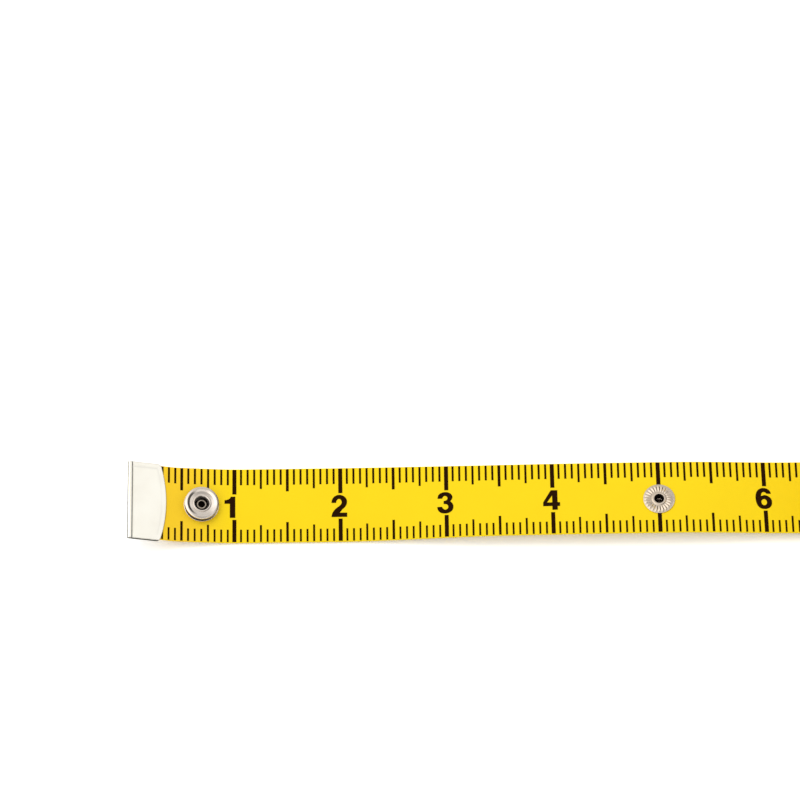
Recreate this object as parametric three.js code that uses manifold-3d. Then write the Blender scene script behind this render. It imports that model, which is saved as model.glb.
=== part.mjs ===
// Soft tape measure, in millimetres, +Z up.
// A coated cloth ribbon lies face up along +X from its capped zero end, carries the two halves of
// a press stud, and past its first six inches is put away as a roll that stands on its outer turn.
import * as THREE from 'three';
import { mergeVertices } from 'three/addons/utils/BufferGeometryUtils.js';
import Module from 'manifold-3d';

const wasm = await Module();
wasm.setup();
const { clamp, degToRad, lerp, smoothstep } = THREE.MathUtils;

// Ribbon
const ribbonLength = 1524;
const ribbonWidth = 18.75;
const ribbonThickness = 0.5;

// Pieces that are crimped together keep the seat gap, the press stud clears the floor by the floor
// gap, a cut runs past its piece by the overrun, and points within the weld distance are one
const seatGap = 0.05;
const floorGap = 0.05;
const overrun = 1;
const weldDistance = 0.0001;

// Places along the ribbon count from the zero of its scale, which lies a little inside the outer
// end of the cap. The stud's place, and how far past the capped stretch the socket's is.
const zeroInset = 0.75;
const studPlace = 127;
const socketSetback = 7.9625;

// Stretches between bend lines: the slit at each line, the room beside the socket, the stretch
// that carries the stud, the one after it, and the tail that the roll takes up
const bendSlit = 0.4;
const bendMargin = 7.7375;
const studStretch = 28;
const lastStretch = 28;
const tailLength = 17;
const stretchesBetween = 3;
const stepsPerStretch = 8;

// Lie of the run: curl of the capped end, lean on the far edge beside the stud
const curlAngle = degToRad(19.5);
const socketCurlShare = 0.41;
const leanAngle = degToRad(-5.8);
const leanBeforeShares = { start: 0.4, full: 0.7 };
const leanAfterShares = { hold: 0.52, end: 0.94 };
const humpBeforeShare = 0.65;
const humpAfterShare = 0.58;
const reachSamples = 400;

// Roll
const turnGap = 0.45;
const coreBendRadius = 4;
const coreClearance = 0.74;
const stepsPerTurn = 24;

// End cap: one folded sheet, with a bead at the fold, a groove behind it and a raised panel
const capLength = 9.5;
const capSideOverhang = 0.325;
const capSheet = 0.3;
const capEdgeRadius = 32;
const capCornerRadius = 1;
const capBeadLength = 0.62;
const capBeadChamfer = 0.35;
const capGrooveWidth = 0.2;
const capGrooveDepth = 0.12;
const panelHeight = 0.14;
const panelBevel = 0.22;
const panelSideInset = 1.1;
const panelEdgeInset = 0.9;
const panelGrooveInset = 0.3;
const capCurveSteps = 10;

// Eyelet that clenches each half: a fluted flange, with a collar round its flared mouth, and a
// barrel with a lip
const flangeRadius = 3.8;
const flangeSheet = 0.22;
const flangeRimWidth = 0.35;
const fluteHeight = 0.12;
const fluteCount = 24;
const collarHeight = 0.12;
const collarWidth = 0.6;
const collarEase = 0.4;
const mouthFlare = 0.4;
const barrelBore = 0.75;
const barrelWall = 0.25;
const clenchLip = 0.17;
const roundSteps = 48;

// Stud half, on the back
const studBaseRadius = 3.5;
const studSheet = 0.28;
const studHeight = 2.05;
const studHeadLip = 0.18;
const studHeadDrop = 0.2;
const studHeadBevel = 0.3;

// Socket half, on the face, whose mouth lets the stud's head through and whose spring grips it
const snapGap = 0.04;
const socketRadius = 4.1;
const socketLedge = 0.15;
const socketBaseSheet = 0.22;
const socketWall = 0.3;
const socketCrown = 0.58;
const socketRimRadius = 0.45;
const dishDepth = 0.32;
const dishOuterInset = 0.75;
const mouthLipWidth = 0.83;
const mouthLipDrop = 0.15;
const springWire = 0.36;
const springGrip = 0.06;
const springRoom = 0.9;
const springGapAngle = degToRad(50);
const springSteps = 30;
const wireArcSteps = 4;

const vinylYellow = { color: 0xffdc1e, roughness: 0.42, metalness: 0 };
const tinPlate = { color: 0xdedad0, roughness: 0.2, metalness: 1 };
const nickelPlate = { color: 0xc9c6c2, roughness: 0.24, metalness: 1 };
const springWireSteel = { color: 0x9a9894, roughness: 0.35, metalness: 1 };

const halfWidth = ribbonWidth / 2;
const halfThickness = ribbonThickness / 2;
const capInnerStart = capSheet + seatGap;
const capHalf = halfThickness + seatGap + capSheet;

// The eyelet's barrel fits the stud's hollow neck, and the stud's head fits the socket's mouth
const flangeDepth = seatGap + flangeSheet + Math.max(fluteHeight, collarHeight);
const barrelOuter = barrelBore + barrelWall;
const clenchRadius = barrelOuter + clenchLip;
const eyeletMouthRadius = barrelBore + mouthFlare;
const collarRadius = eyeletMouthRadius + collarWidth;
const fluteStartRadius = collarRadius + collarEase;
const fluteEndRadius = flangeRadius - flangeRimWidth;
const studHollow = clenchRadius + seatGap;
const studNeckRadius = studHollow + studSheet;
const studHeadRadius = studNeckRadius + studHeadLip;
const socketMouthRadius = studHeadRadius + snapGap;
const socketFlangeRadius = socketRadius + socketLedge;
const socketPlace = capLength + socketSetback;

// Bend lines
const firstBend = socketPlace + flangeRadius + bendMargin;
const studStretchStart = studPlace - studStretch / 2;
const lastBend = studPlace + studStretch / 2 + lastStretch;
const runLength = lastBend + tailLength;

function bendPlaces() {
  const even = (studStretchStart - firstBend) / stretchesBetween;
  const places = [];
  for (let i = 0; i <= stretchesBetween; i += 1) places.push(firstBend + i * even);
  places.push(studPlace + studStretch / 2, lastBend);
  return places;
}

// The curl: straight in the end cap and under the socket, bent between them, and eased out past
// the socket with the square of the distance from its end
const capSlope = Math.sin(curlAngle);
const socketSlope = Math.sin(socketCurlShare * curlAngle);
const socketHold = Math.max(socketFlangeRadius, flangeRadius) + seatGap;
const flatStart = socketPlace - socketHold;
const flatEnd = socketPlace + socketHold;

// It reaches just far enough for the socket's flange, under the ribbon, to clear the floor
const socketRise = (halfThickness + flangeDepth) * Math.sqrt(1 - socketSlope ** 2)
  + flangeRadius * socketSlope + floorGap - halfThickness;
const curlReach = flatEnd + 3 * (socketRise / socketSlope - socketHold);

function curlHeight(place) {
  const ease = curlReach - flatEnd;
  if (place >= curlReach) return 0;
  if (place >= flatEnd) return socketSlope * (curlReach - place) ** 3 / (3 * ease ** 2);
  const flatRise = socketSlope * (ease / 3 + flatEnd - Math.max(place, flatStart));
  if (place >= flatStart) return flatRise;
  const bend = flatStart - capLength;
  const bent = Math.min(flatStart - place, bend);
  const bentRise = socketSlope * bent + (capSlope - socketSlope) * bent ** 2 / (2 * bend);
  return flatRise + bentRise + capSlope * Math.max(capLength - place, 0);
}

function leanAt(place) {
  const rest = runLength - studPlace;
  const comes = smoothstep(place / studPlace, leanBeforeShares.start, leanBeforeShares.full);
  const goes = smoothstep((place - studPlace) / rest, leanAfterShares.hold, leanAfterShares.end);
  return leanAngle * comes * (1 - goes);
}

function edgeRise(lean) {
  return halfWidth * Math.abs(Math.sin(lean)) + halfThickness * Math.cos(lean);
}

// The stud's head, under the ribbon, lifts it off the floor, and its flange holds it flat
const studHold = Math.max(studBaseRadius, flangeRadius) + seatGap;

function humpAt(place) {
  const lean = Math.abs(leanAngle);
  const need = (halfThickness + seatGap + studHeight) * Math.cos(lean)
    + studHeadRadius * Math.sin(lean) + floorGap;
  const reach = place < studPlace ? humpBeforeShare * studPlace
    : humpAfterShare * (runLength - studPlace);
  const away = clamp((Math.abs(place - studPlace) - studHold) / (reach - studHold), 0, 1);
  return (need - edgeRise(leanAngle)) * (1 + Math.cos(Math.PI * away)) / 2;
}

function heightAt(place) {
  return edgeRise(leanAt(place)) + humpAt(place) + curlHeight(place);
}

function slopeAt(place) {
  const step = runLength / reachSamples / 2;
  return (heightAt(place - step) - heightAt(place + step)) / (2 * step);
}

// How far along X the ribbon has come at each of the evenly spaced samples of its run
function sampleReach() {
  const step = runLength / reachSamples;
  const reach = [0];
  for (let i = 0; i < reachSamples; i += 1) {
    const slope = slopeAt((i + 1 / 2) * step);
    reach.push(reach[i] + step * Math.sqrt(1 - slope * slope));
  }
  return reach;
}

const runReach = sampleReach();

function reachAt(place) {
  const along = place / runLength * reachSamples;
  const i = clamp(Math.floor(along), 0, reachSamples - 1);
  return lerp(runReach[i], runReach[i + 1], along - i);
}

// A station is the frame of the ribbon at one place: X along it, Y across it, Z out of its face
function station(x, z, turned, lean) {
  const along = new THREE.Vector3(Math.cos(turned), 0, Math.sin(turned));
  const across = new THREE.Vector3(0, 1, 0).applyAxisAngle(along, lean);
  const out = new THREE.Vector3().crossVectors(along, across);
  return new THREE.Matrix4().makeBasis(along, across, out).setPosition(x, 0, z);
}

function runStation(place) {
  return station(reachAt(place), heightAt(place), -Math.asin(slopeAt(place)), leanAt(place));
}

// The roll is the involute of a small circle, whose turns lie evenly apart. The core takes a
// tighter bend, so that the capped end lies across the middle of the roll, and its corner clears
// the first turn.
const turnPitch = ribbonThickness + turnGap;
const evolute = turnPitch / (2 * Math.PI);
const coreBendAngle = Math.PI / 2;
const coreSpan = capLength + coreBendRadius;
const coreRadius = (coreSpan ** 2 + (coreBendRadius + capHalf + panelHeight) ** 2
  - coreClearance ** 2) / (2 * (coreSpan - coreClearance));
const coreBendLength = coreBendRadius * coreBendAngle;
const woundLength = ribbonLength - runLength - coreBendLength - capLength;
const rollRadius = Math.sqrt(coreRadius ** 2 + 2 * evolute * woundLength);
const rollAngle = (rollRadius - coreRadius) / evolute;

function woundPoint(turned) {
  const radius = rollRadius - evolute * turned;
  const x = radius * Math.sin(turned) + evolute * (1 - Math.cos(turned));
  const z = rollRadius - radius * Math.cos(turned) - evolute * Math.sin(turned);
  return new THREE.Vector3(runReach[reachSamples] + x, 0, halfThickness + z);
}

// The steps of the roll touch its curve at their middles, so the lowest one lies on the floor
const turnStep = 2 * Math.PI / stepsPerTurn;
const cornerShare = 1 / Math.cos(turnStep / 2) - 1;

function cornerStation(point, turned, radius) {
  const frame = station(point.x, point.z, turned, 0);
  return frame.multiply(new THREE.Matrix4().makeTranslation(0, 0, -radius * cornerShare));
}

function rollStation(turned) {
  return cornerStation(woundPoint(turned), turned, rollRadius - evolute * turned);
}

function coreStation(bent) {
  const point = woundPoint(rollAngle);
  const turned = rollAngle + bent;
  point.x += coreBendRadius * (Math.sin(turned) - Math.sin(rollAngle));
  point.z += coreBendRadius * (Math.cos(rollAngle) - Math.cos(turned));
  return cornerStation(point, turned, coreBendRadius);
}

function straightOn(from, distance) {
  return from.clone().multiply(new THREE.Matrix4().makeTranslation(distance, 0, 0));
}

// One closed flat band through a list of stations
function bandGeometry(stations) {
  const corners = [[-1, -1], [1, -1], [1, 1], [-1, 1]];
  const points = [];
  const faces = [];
  for (const frame of stations) {
    for (const [across, out] of corners) {
      const corner = new THREE.Vector3(0, across * halfWidth, out * halfThickness);
      points.push(...corner.applyMatrix4(frame).toArray());
    }
  }
  const sides = corners.length;
  for (let i = 0; i < stations.length - 1; i += 1) {
    for (let side = 0; side < sides; side += 1) {
      const a = i * sides + side;
      const b = i * sides + (side + 1) % sides;
      faces.push(a, b, a + sides, b, b + sides, a + sides);
    }
  }
  const end = (stations.length - 1) * sides;
  faces.push(0, 2, 1, 0, 3, 2, end, end + 1, end + 2, end, end + 2, end + 3);
  const geometry = new THREE.BufferGeometry();
  geometry.setAttribute('position', new THREE.Float32BufferAttribute(points, 3));
  geometry.setIndex(faces);
  return geometry;
}

function stretchStations(start, end) {
  const stations = [];
  for (let i = 0; i <= stepsPerStretch; i += 1) {
    stations.push(runStation(lerp(start, end, i / stepsPerStretch)));
  }
  return stations;
}

// The capped stretch has stations where the ribbon starts and stops being held straight
function leadStations(end) {
  const start = capInnerStart - zeroInset;
  const held = [start, capLength, (capLength + flatStart) / 2, flatStart, flatEnd];
  return [...held.map(runStation), ...stretchStations(flatEnd, end).slice(1)];
}

function rollStations() {
  const stations = [];
  for (let turned = turnStep / 2; turned < rollAngle; turned += turnStep) {
    stations.push(rollStation(turned));
  }
  const bends = Math.ceil(coreBendAngle / turnStep);
  for (let i = 0; i <= bends; i += 1) stations.push(coreStation(coreBendAngle * i / bends));
  stations.push(straightOn(stations[stations.length - 1], capLength - capInnerStart));
  return stations;
}

// Least distance from any wound point or middle of a step to a step that is half a turn away
function leastGap(stations) {
  const points = stations.map((frame) => new THREE.Vector3().setFromMatrixPosition(frame));
  const near = new THREE.Vector3();
  let least = Infinity;
  for (let i = 0; i < points.length - 1; i += 1) {
    const middle = new THREE.Vector3().lerpVectors(points[i], points[i + 1], 1 / 2);
    for (let j = i + stepsPerTurn / 2; j < points.length - 1; j += 1) {
      const chord = new THREE.Line3(points[j], points[j + 1]);
      for (const point of [points[i], middle]) {
        chord.closestPointToPoint(point, true, near);
        least = Math.min(least, near.distanceTo(point) - ribbonThickness);
      }
    }
  }
  return least;
}

function solidOf(geometry) {
  const bare = geometry.index ? geometry.clone() : geometry;
  bare.deleteAttribute('normal');
  bare.deleteAttribute('uv');
  const merged = mergeVertices(bare, weldDistance);
  return new wasm.Manifold(new wasm.Mesh({
    numProp: 3,
    vertProperties: new Float32Array(merged.attributes.position.array),
    triVerts: new Uint32Array(merged.index.array),
  }));
}

function geometryOf(solid) {
  const mesh = solid.getMesh();
  const geometry = new THREE.BufferGeometry();
  geometry.setAttribute('position', new THREE.BufferAttribute(mesh.vertProperties, 3));
  geometry.setIndex(new THREE.BufferAttribute(mesh.triVerts, 1));
  return geometry;
}

// A ring turned about Z from a closed profile of [radius, height] points
function turnedGeometry(profile, segments = roundSteps) {
  const points = [...profile, profile[0]].map(([radius, height]) => new THREE.Vector2(radius, height));
  return new THREE.LatheGeometry(points, segments).rotateX(Math.PI / 2);
}

function meshOf(name, geometry, finish) {
  const mesh = new THREE.Mesh(geometry, new THREE.MeshStandardMaterial(finish));
  mesh.name = name;
  return mesh;
}

// Hole through a stretch of ribbon for the barrel of an eyelet
function punched(geometry, place) {
  const radius = barrelOuter + seatGap;
  const punch = new THREE.CylinderGeometry(radius, radius, ribbonThickness + 2 * overrun, roundSteps / 2);
  punch.rotateX(Math.PI / 2).applyMatrix4(runStation(place));
  return geometryOf(solidOf(geometry).subtract(solidOf(punch)));
}

function capOutline(inset, start) {
  const side = halfWidth + capSideOverhang - inset;
  const edge = capLength - (inset > 0 ? panelEdgeInset : 0);
  const radius = capEdgeRadius - (inset > 0 ? panelEdgeInset : 0);
  const centre = edge - radius;
  const corner = capCornerRadius;
  // The small corner arc touches both the side and the long edge arc
  const cornerAcross = side - corner;
  const cornerAlong = centre + Math.sqrt((radius - corner) ** 2 - cornerAcross ** 2);
  const meet = Math.atan2(cornerAcross, cornerAlong - centre);
  const shape = new THREE.Shape();
  shape.moveTo(start, -side);
  shape.lineTo(cornerAlong, -side);
  shape.absarc(cornerAlong, -cornerAcross, corner, -Math.PI / 2, -meet);
  shape.absarc(centre, 0, radius, -meet, meet);
  shape.absarc(cornerAlong, cornerAcross, corner, meet, Math.PI / 2);
  shape.lineTo(start, side);
  shape.closePath();
  return shape;
}

// Side view of the folded sheet, with the ribbon's slot, extruded across the ribbon
function foldedSheet() {
  const half = capHalf;
  const slot = half - capSheet;
  const low = half - capGrooveDepth;
  const grooveEnd = capBeadLength + capGrooveWidth;
  const past = capLength + overrun;
  const upper = [
    [0, half - capBeadChamfer], [capBeadChamfer, half], [capBeadLength, half],
    [capBeadLength + capGrooveWidth / 2, low], [grooveEnd, half], [past, half], [past, slot],
    [capInnerStart, slot],
  ];
  const lower = upper.map(([x, z]) => [x, -z]).reverse();
  const shape = new THREE.Shape([...upper, ...lower].map(([x, z]) => new THREE.Vector2(x, z)));
  const width = ribbonWidth + 2 * (capSideOverhang + overrun);
  const sheet = new THREE.ExtrudeGeometry(shape, { depth: width, bevelEnabled: false });
  return sheet.translate(0, 0, -width / 2).rotateX(Math.PI / 2);
}

function capPanel() {
  const start = capBeadLength + capGrooveWidth + panelGrooveInset + panelBevel;
  const panel = new THREE.ExtrudeGeometry(capOutline(panelSideInset + panelBevel, start), {
    depth: capSheet / 2,
    bevelThickness: panelHeight,
    bevelSize: panelBevel,
    bevelSegments: 1,
    curveSegments: capCurveSteps,
  });
  return panel.translate(0, 0, capHalf - capSheet / 2);
}

function endCap(name) {
  const outline = new THREE.ExtrudeGeometry(capOutline(0, -overrun), {
    depth: 2 * (capHalf + overrun), bevelEnabled: false, curveSegments: capCurveSteps,
  });
  outline.translate(0, 0, -capHalf - overrun);
  const panel = capPanel();
  const back = panel.clone().rotateX(Math.PI);
  const cap = solidOf(foldedSheet()).intersect(solidOf(outline))
    .add(solidOf(panel)).add(solidOf(back));
  return meshOf(name, geometryOf(cap), tinPlate);
}

// Eyelet with its flange under the ribbon and its barrel up through it, clenched over a sheet
// whose upper side is at the grip height
function eyelet(name, grip) {
  const top = -halfThickness - seatGap;
  const under = top - flangeSheet;
  const lip = grip + seatGap;
  const profile = [
    [collarRadius, under - collarHeight], [fluteStartRadius, under],
    [(fluteStartRadius + fluteEndRadius) / 2, under], [fluteEndRadius, under],
    [flangeRadius, under], [flangeRadius, top], [barrelOuter, top], [barrelOuter, lip],
    [clenchRadius, lip], [clenchRadius, lip + barrelWall], [barrelBore, lip + barrelWall],
    [barrelBore, top], [eyeletMouthRadius, under - collarHeight],
  ];
  return meshOf(name, fluted(turnedGeometry(profile, 2 * fluteCount), under), nickelPlate);
}

// Pushes the flange's lower side out in ridges, full height halfway and half that at their ends
function fluted(geometry, under) {
  const position = geometry.attributes.position;
  for (let i = 0; i < position.count; i += 1) {
    const radius = Math.hypot(position.getX(i), position.getY(i));
    const ridge = (1 + Math.cos(fluteCount * Math.atan2(position.getY(i), position.getX(i)))) / 2;
    const inside = Math.min(radius - fluteStartRadius, fluteEndRadius - radius);
    const onUnder = Math.abs(position.getZ(i) - under) < weldDistance;
    if (onUnder && inside > -weldDistance) {
      position.setZ(i, under - fluteHeight * ridge * (inside < weldDistance ? 1 / 2 : 1));
    }
  }
  return geometry;
}

function socketShell(low, throat) {
  const rim = socketRimRadius;
  const bevel = rim * (1 - Math.SQRT1_2);
  const top = throat + socketCrown;
  const dish = top - dishDepth;
  const lip = socketMouthRadius + mouthLipWidth;
  return turnedGeometry([
    [socketRadius - socketWall, low], [socketRadius, low], [socketRadius, top - rim],
    [socketRadius - bevel, top - bevel], [socketRadius - rim, top],
    [socketRadius - dishOuterInset, dish], [lip, dish],
    [(lip + socketMouthRadius) / 2, top - mouthLipDrop], [socketMouthRadius, dish],
    [socketMouthRadius, throat], [socketRadius - socketWall, throat],
  ]);
}

function springRing(height) {
  const radius = socketMouthRadius + springWire / 2 - springGrip;
  const wire = new THREE.Shape();
  wire.absarc(0, 0, springWire / 2, 0, 2 * Math.PI);
  const geometry = new THREE.ExtrudeGeometry(wire, {
    extrudePath: new SpringArc(radius, 2 * Math.PI - springGapAngle),
    steps: springSteps,
    curveSegments: wireArcSteps,
    bevelEnabled: false,
  });
  return geometry.translate(0, 0, height);
}

function socketHalf() {
  const low = halfThickness + seatGap;
  const baseTop = low + socketBaseSheet;
  const shellLow = baseTop + seatGap;
  const throat = shellLow + springRoom;
  const base = turnedGeometry([
    [barrelOuter + seatGap, low], [socketFlangeRadius, low],
    [socketFlangeRadius, baseTop], [barrelOuter + seatGap, baseTop],
  ]);
  const half = new THREE.Group();
  half.add(
    meshOf('socket_base', base, nickelPlate),
    meshOf('socket_shell', socketShell(shellLow, throat), nickelPlate),
    meshOf('socket_spring', springRing(throat - seatGap - springWire / 2), springWireSteel),
    eyelet('socket_eyelet', baseTop),
  );
  return half;
}

// The open ring of spring wire that grips the stud's neck
class SpringArc extends THREE.Curve {
  constructor(radius, angle) {
    super();
    this.radius = radius;
    this.angle = angle;
  }

  getPoint(share, target = new THREE.Vector3()) {
    const turned = share * this.angle;
    return target.set(this.radius * Math.cos(turned), this.radius * Math.sin(turned), 0);
  }
}

function studHalf() {
  const low = halfThickness + seatGap;
  const grip = low + studSheet;
  const top = low + studHeight;
  const widest = top - studHeadDrop;
  const post = turnedGeometry([
    [barrelOuter + seatGap, low], [studBaseRadius, low], [studBaseRadius, grip],
    [studNeckRadius, grip], [studNeckRadius, widest - studHeadBevel], [studHeadRadius, widest],
    [studHeadRadius - studHeadBevel, top], [0, top], [0, top - studSheet],
    [studHollow, top - studSheet], [studHollow, grip], [barrelOuter + seatGap, grip],
  ]);
  const half = new THREE.Group();
  half.add(meshOf('stud_post', post, nickelPlate), eyelet('stud_eyelet', grip));
  half.rotation.x = Math.PI;
  return half;
}

function placed(group, frame) {
  const holder = new THREE.Group();
  holder.add(group);
  frame.decompose(holder.position, holder.quaternion, holder.scale);
  return holder;
}

function ribbon() {
  const bends = bendPlaces();
  const group = new THREE.Group();
  const slit = bendSlit / 2;
  const lead = bandGeometry(leadStations(bends[0] - slit));
  group.add(meshOf('ribbon_lead', punched(lead, socketPlace), vinylYellow));
  for (let i = 1; i < bends.length; i += 1) {
    const [start, end] = [bends[i - 1] + slit, bends[i] - slit];
    const plain = bandGeometry(stretchStations(start, end));
    const carriesStud = start < studPlace && end > studPlace;
    const stretch = carriesStud ? punched(plain, studPlace) : plain;
    group.add(meshOf(`ribbon_stretch_${i}`, stretch, vinylYellow));
  }
  const wound = rollStations();
  const tail = stretchStations(lastBend + slit, runLength);
  console.log('turns in the roll', (rollAngle / (2 * Math.PI)).toFixed(2));
  console.log('least gap in the roll, mm', leastGap([...tail, ...wound]).toFixed(3));
  group.add(meshOf('ribbon_roll', bandGeometry([...tail, ...wound]), vinylYellow));
  return { group, finish: wound[wound.length - 1] };
}

const tape = new THREE.Group();
const band = ribbon();
const finishFrame = straightOn(band.finish, capInnerStart)
  .multiply(new THREE.Matrix4().makeRotationZ(Math.PI));
tape.add(
  band.group,
  placed(endCap('end_cap_start'), runStation(-zeroInset)),
  placed(endCap('end_cap_finish'), finishFrame),
  placed(socketHalf(), runStation(socketPlace)),
  placed(studHalf(), runStation(studPlace)),
);

// The origin is the middle of the lowest face of the box round the whole tape
const box = new THREE.Box3().setFromObject(tape, true);
const middle = box.getCenter(new THREE.Vector3());
tape.position.set(-middle.x, -middle.y, -box.min.z);

export default tape;
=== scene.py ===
"""Looks of a soft tape measure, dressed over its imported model.

A coated cloth ribbon lies face up from its capped zero end and carries the two halves of a press
stud. Past its first inches it is put away as a roll that stands on its outer turn. Sizes are in
millimetres until a mesh is made, and MM turns them to metres.
"""
import logging
import math
from collections.abc import Callable
from dataclasses import dataclass, field
from enum import Enum

import bmesh
import bpy
import numpy as np
from mathutils import Matrix, Vector


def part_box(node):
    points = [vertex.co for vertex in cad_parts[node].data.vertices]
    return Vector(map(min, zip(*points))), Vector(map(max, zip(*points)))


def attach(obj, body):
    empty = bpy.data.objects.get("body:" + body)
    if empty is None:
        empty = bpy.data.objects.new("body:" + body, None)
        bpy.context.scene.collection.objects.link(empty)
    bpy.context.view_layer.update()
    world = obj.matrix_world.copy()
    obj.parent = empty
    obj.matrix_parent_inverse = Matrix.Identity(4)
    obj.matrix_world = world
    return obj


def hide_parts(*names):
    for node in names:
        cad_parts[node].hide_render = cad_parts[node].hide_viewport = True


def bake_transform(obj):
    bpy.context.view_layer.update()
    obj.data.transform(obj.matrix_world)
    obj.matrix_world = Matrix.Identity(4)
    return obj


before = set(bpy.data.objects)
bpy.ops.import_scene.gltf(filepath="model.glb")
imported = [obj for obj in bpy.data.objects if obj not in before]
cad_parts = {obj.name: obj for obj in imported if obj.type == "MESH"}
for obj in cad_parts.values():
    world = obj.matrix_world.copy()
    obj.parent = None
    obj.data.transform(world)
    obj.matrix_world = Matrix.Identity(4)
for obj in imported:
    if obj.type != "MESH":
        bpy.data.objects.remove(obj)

MM = 0.001
# Less than this counts as nothing, in mm
TINY = 1e-6
# Where most of a noise texture's values lie
NOISE_SPREAD = (0.3, 0.7)
log = logging.getLogger("tape")


def linear(hex_colour: str) -> tuple[float, float, float, float]:
    """Turns an sRGB hex colour to the linear colour that a shader takes.

    Args:
        hex_colour: six hex digits after a hash sign.

    Returns:
        Red, green, blue and an alpha of 1.
    """
    parts = [int(hex_colour[i:i + 2], 16) / 255 for i in (1, 3, 5)]
    bent = [p / 12.92 if p <= 0.04045 else ((p + 0.055) / 1.055) ** 2.4 for p in parts]
    return (bent[0], bent[1], bent[2], 1.0)


def add_node(tree: bpy.types.NodeTree, kind: str, feeds: dict | None = None,
             **settings: object) -> bpy.types.Node:
    """Adds a node with its settings, constants and links.

    Args:
        tree: the node tree that gets the node.
        kind: the node's type, as Blender names it.
        feeds: for an input's name or number, the constant or the output socket that feeds it.
        settings: the node's own properties.

    Returns:
        The new node.
    """
    node = tree.nodes.new(kind)
    for name, value in settings.items():
        setattr(node, name, value)
    for key, value in (feeds or {}).items():
        if isinstance(value, bpy.types.NodeSocket):
            tree.links.new(value, node.inputs[key])
        else:
            node.inputs[key].default_value = value
    return node


def new_material(name: str) -> tuple[bpy.types.Material, bpy.types.NodeTree, bpy.types.Node]:
    """Starts a material.

    Args:
        name: the material's name.

    Returns:
        The material, its node tree and its shader.
    """
    material = bpy.data.materials.new(name)
    material.use_nodes = True
    return material, material.node_tree, material.node_tree.nodes["Principled BSDF"]


class Side(Enum):
    """Which face of the ribbon something is printed on."""

    FACE = 1
    BACK = -1


class Edge(Enum):
    """Which edge of the ribbon a row of marks starts from."""

    FAR = 1
    NEAR = -1


# Finishes


@dataclass(frozen=True)
class CoatedCloth:
    """Glass cloth under a calendered vinyl coat: satin yellow, with the weave just felt in it."""

    name: str = "vinyl_coated_cloth"
    colour: str = "#FFDF16"
    warm_colour: str = "#FFD918"
    # Painted shade: a deeper yellow that fades in from 24 mm to 14 mm from the zero end, where the
    # curl turns the face from the light
    handled_colour: str = "#FDD029"
    handled_from: float = 24.0
    handled_to: float = 14.0
    roughness: tuple[float, float] = (0.38, 0.5)
    thread_pitch: float = 0.55
    weave_height: float = 0.006
    weave_strength: float = 0.5
    mottle_size: float = 9.0
    ior: float = 1.5
    specular: float = 0.12

    def make(self) -> bpy.types.Material:
        """Builds the material on the ribbon's own flat coordinates.

        Returns:
            The material.
        """
        material, tree, shader = new_material(self.name)
        flat = add_node(tree, "ShaderNodeUVMap", uv_map="flat")
        # Soft blotches where the coat took the pigment a little warmer, about 9 mm across
        blotch = add_node(tree, "ShaderNodeTexNoise", {
            "Vector": flat.outputs["UV"], "Scale": 1 / (self.mottle_size * MM), "Detail": 2.0})
        tint = add_node(tree, "ShaderNodeMix", {
            "Factor": blotch.outputs["Fac"], "A": linear(self.colour),
            "B": linear(self.warm_colour)}, data_type="RGBA")
        # Near the cap, where the curl turns the face from the light, a deeper yellow is painted in
        # as shade
        place = add_node(tree, "ShaderNodeSeparateXYZ", {"Vector": flat.outputs["UV"]})
        curl_shade = add_node(tree, "ShaderNodeMapRange", {
            "Value": place.outputs["X"], "From Min": self.handled_from * MM,
            "From Max": self.handled_to * MM, "To Min": 0.0, "To Max": 1.0})
        tint = add_node(tree, "ShaderNodeMix", {
            "Factor": curl_shade.outputs["Result"], "A": tint.outputs["Result"],
            "B": linear(self.handled_colour)}, data_type="RGBA")
        # The coat dulls and shines in patches, which breaks up a long reflection
        gloss = add_node(tree, "ShaderNodeMapRange", {
            "Value": blotch.outputs["Fac"], "From Min": NOISE_SPREAD[0],
            "From Max": NOISE_SPREAD[1], "To Min": self.roughness[0],
            "To Max": self.roughness[1]})
        # Warp and weft threads 0.55 mm apart show through the coat as a faint grid
        turn = 2 * math.pi / (self.thread_pitch * MM)
        waves = []
        for axis in ("X", "Y"):
            angle = add_node(tree, "ShaderNodeMath", {0: place.outputs[axis], 1: turn},
                             operation="MULTIPLY")
            waves.append(add_node(tree, "ShaderNodeMath", {0: angle.outputs[0]},
                                  operation="SINE"))
        weave = add_node(tree, "ShaderNodeMath", {
            0: waves[0].outputs[0], 1: waves[1].outputs[0]}, operation="MULTIPLY")
        bump = add_node(tree, "ShaderNodeBump", {
            "Height": weave.outputs[0], "Distance": self.weave_height * MM,
            "Strength": self.weave_strength})
        tree.links.new(tint.outputs["Result"], shader.inputs["Base Color"])
        tree.links.new(gloss.outputs["Result"], shader.inputs["Roughness"])
        tree.links.new(bump.outputs["Normal"], shader.inputs["Normal"])
        shader.inputs["IOR"].default_value = self.ior
        shader.inputs["Specular IOR Level"].default_value = self.specular
        return material


@dataclass(frozen=True)
class ScreenInk:
    """Solvent ink, screen printed: a thin near-black film that thins out in places to brown."""

    name: str = "screen_printed_ink"
    colour: str = "#1C0B00"
    thin_colour: str = "#2E1603"
    roughness: float = 0.6
    specular: float = 0.04
    grain_size: float = 0.8

    def make(self) -> bpy.types.Material:
        """Builds the material on object coordinates.

        Returns:
            The material.
        """
        material, tree, shader = new_material(self.name)
        where = add_node(tree, "ShaderNodeTexCoord")
        film = add_node(tree, "ShaderNodeTexNoise", {
            "Vector": where.outputs["Object"], "Scale": 1 / (self.grain_size * MM),
            "Detail": 3.0})
        tint = add_node(tree, "ShaderNodeMix", {
            "Factor": film.outputs["Fac"], "A": linear(self.colour),
            "B": linear(self.thin_colour)}, data_type="RGBA")
        tree.links.new(tint.outputs["Result"], shader.inputs["Base Color"])
        shader.inputs["Roughness"].default_value = self.roughness
        shader.inputs["Specular IOR Level"].default_value = self.specular
        return material


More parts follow.
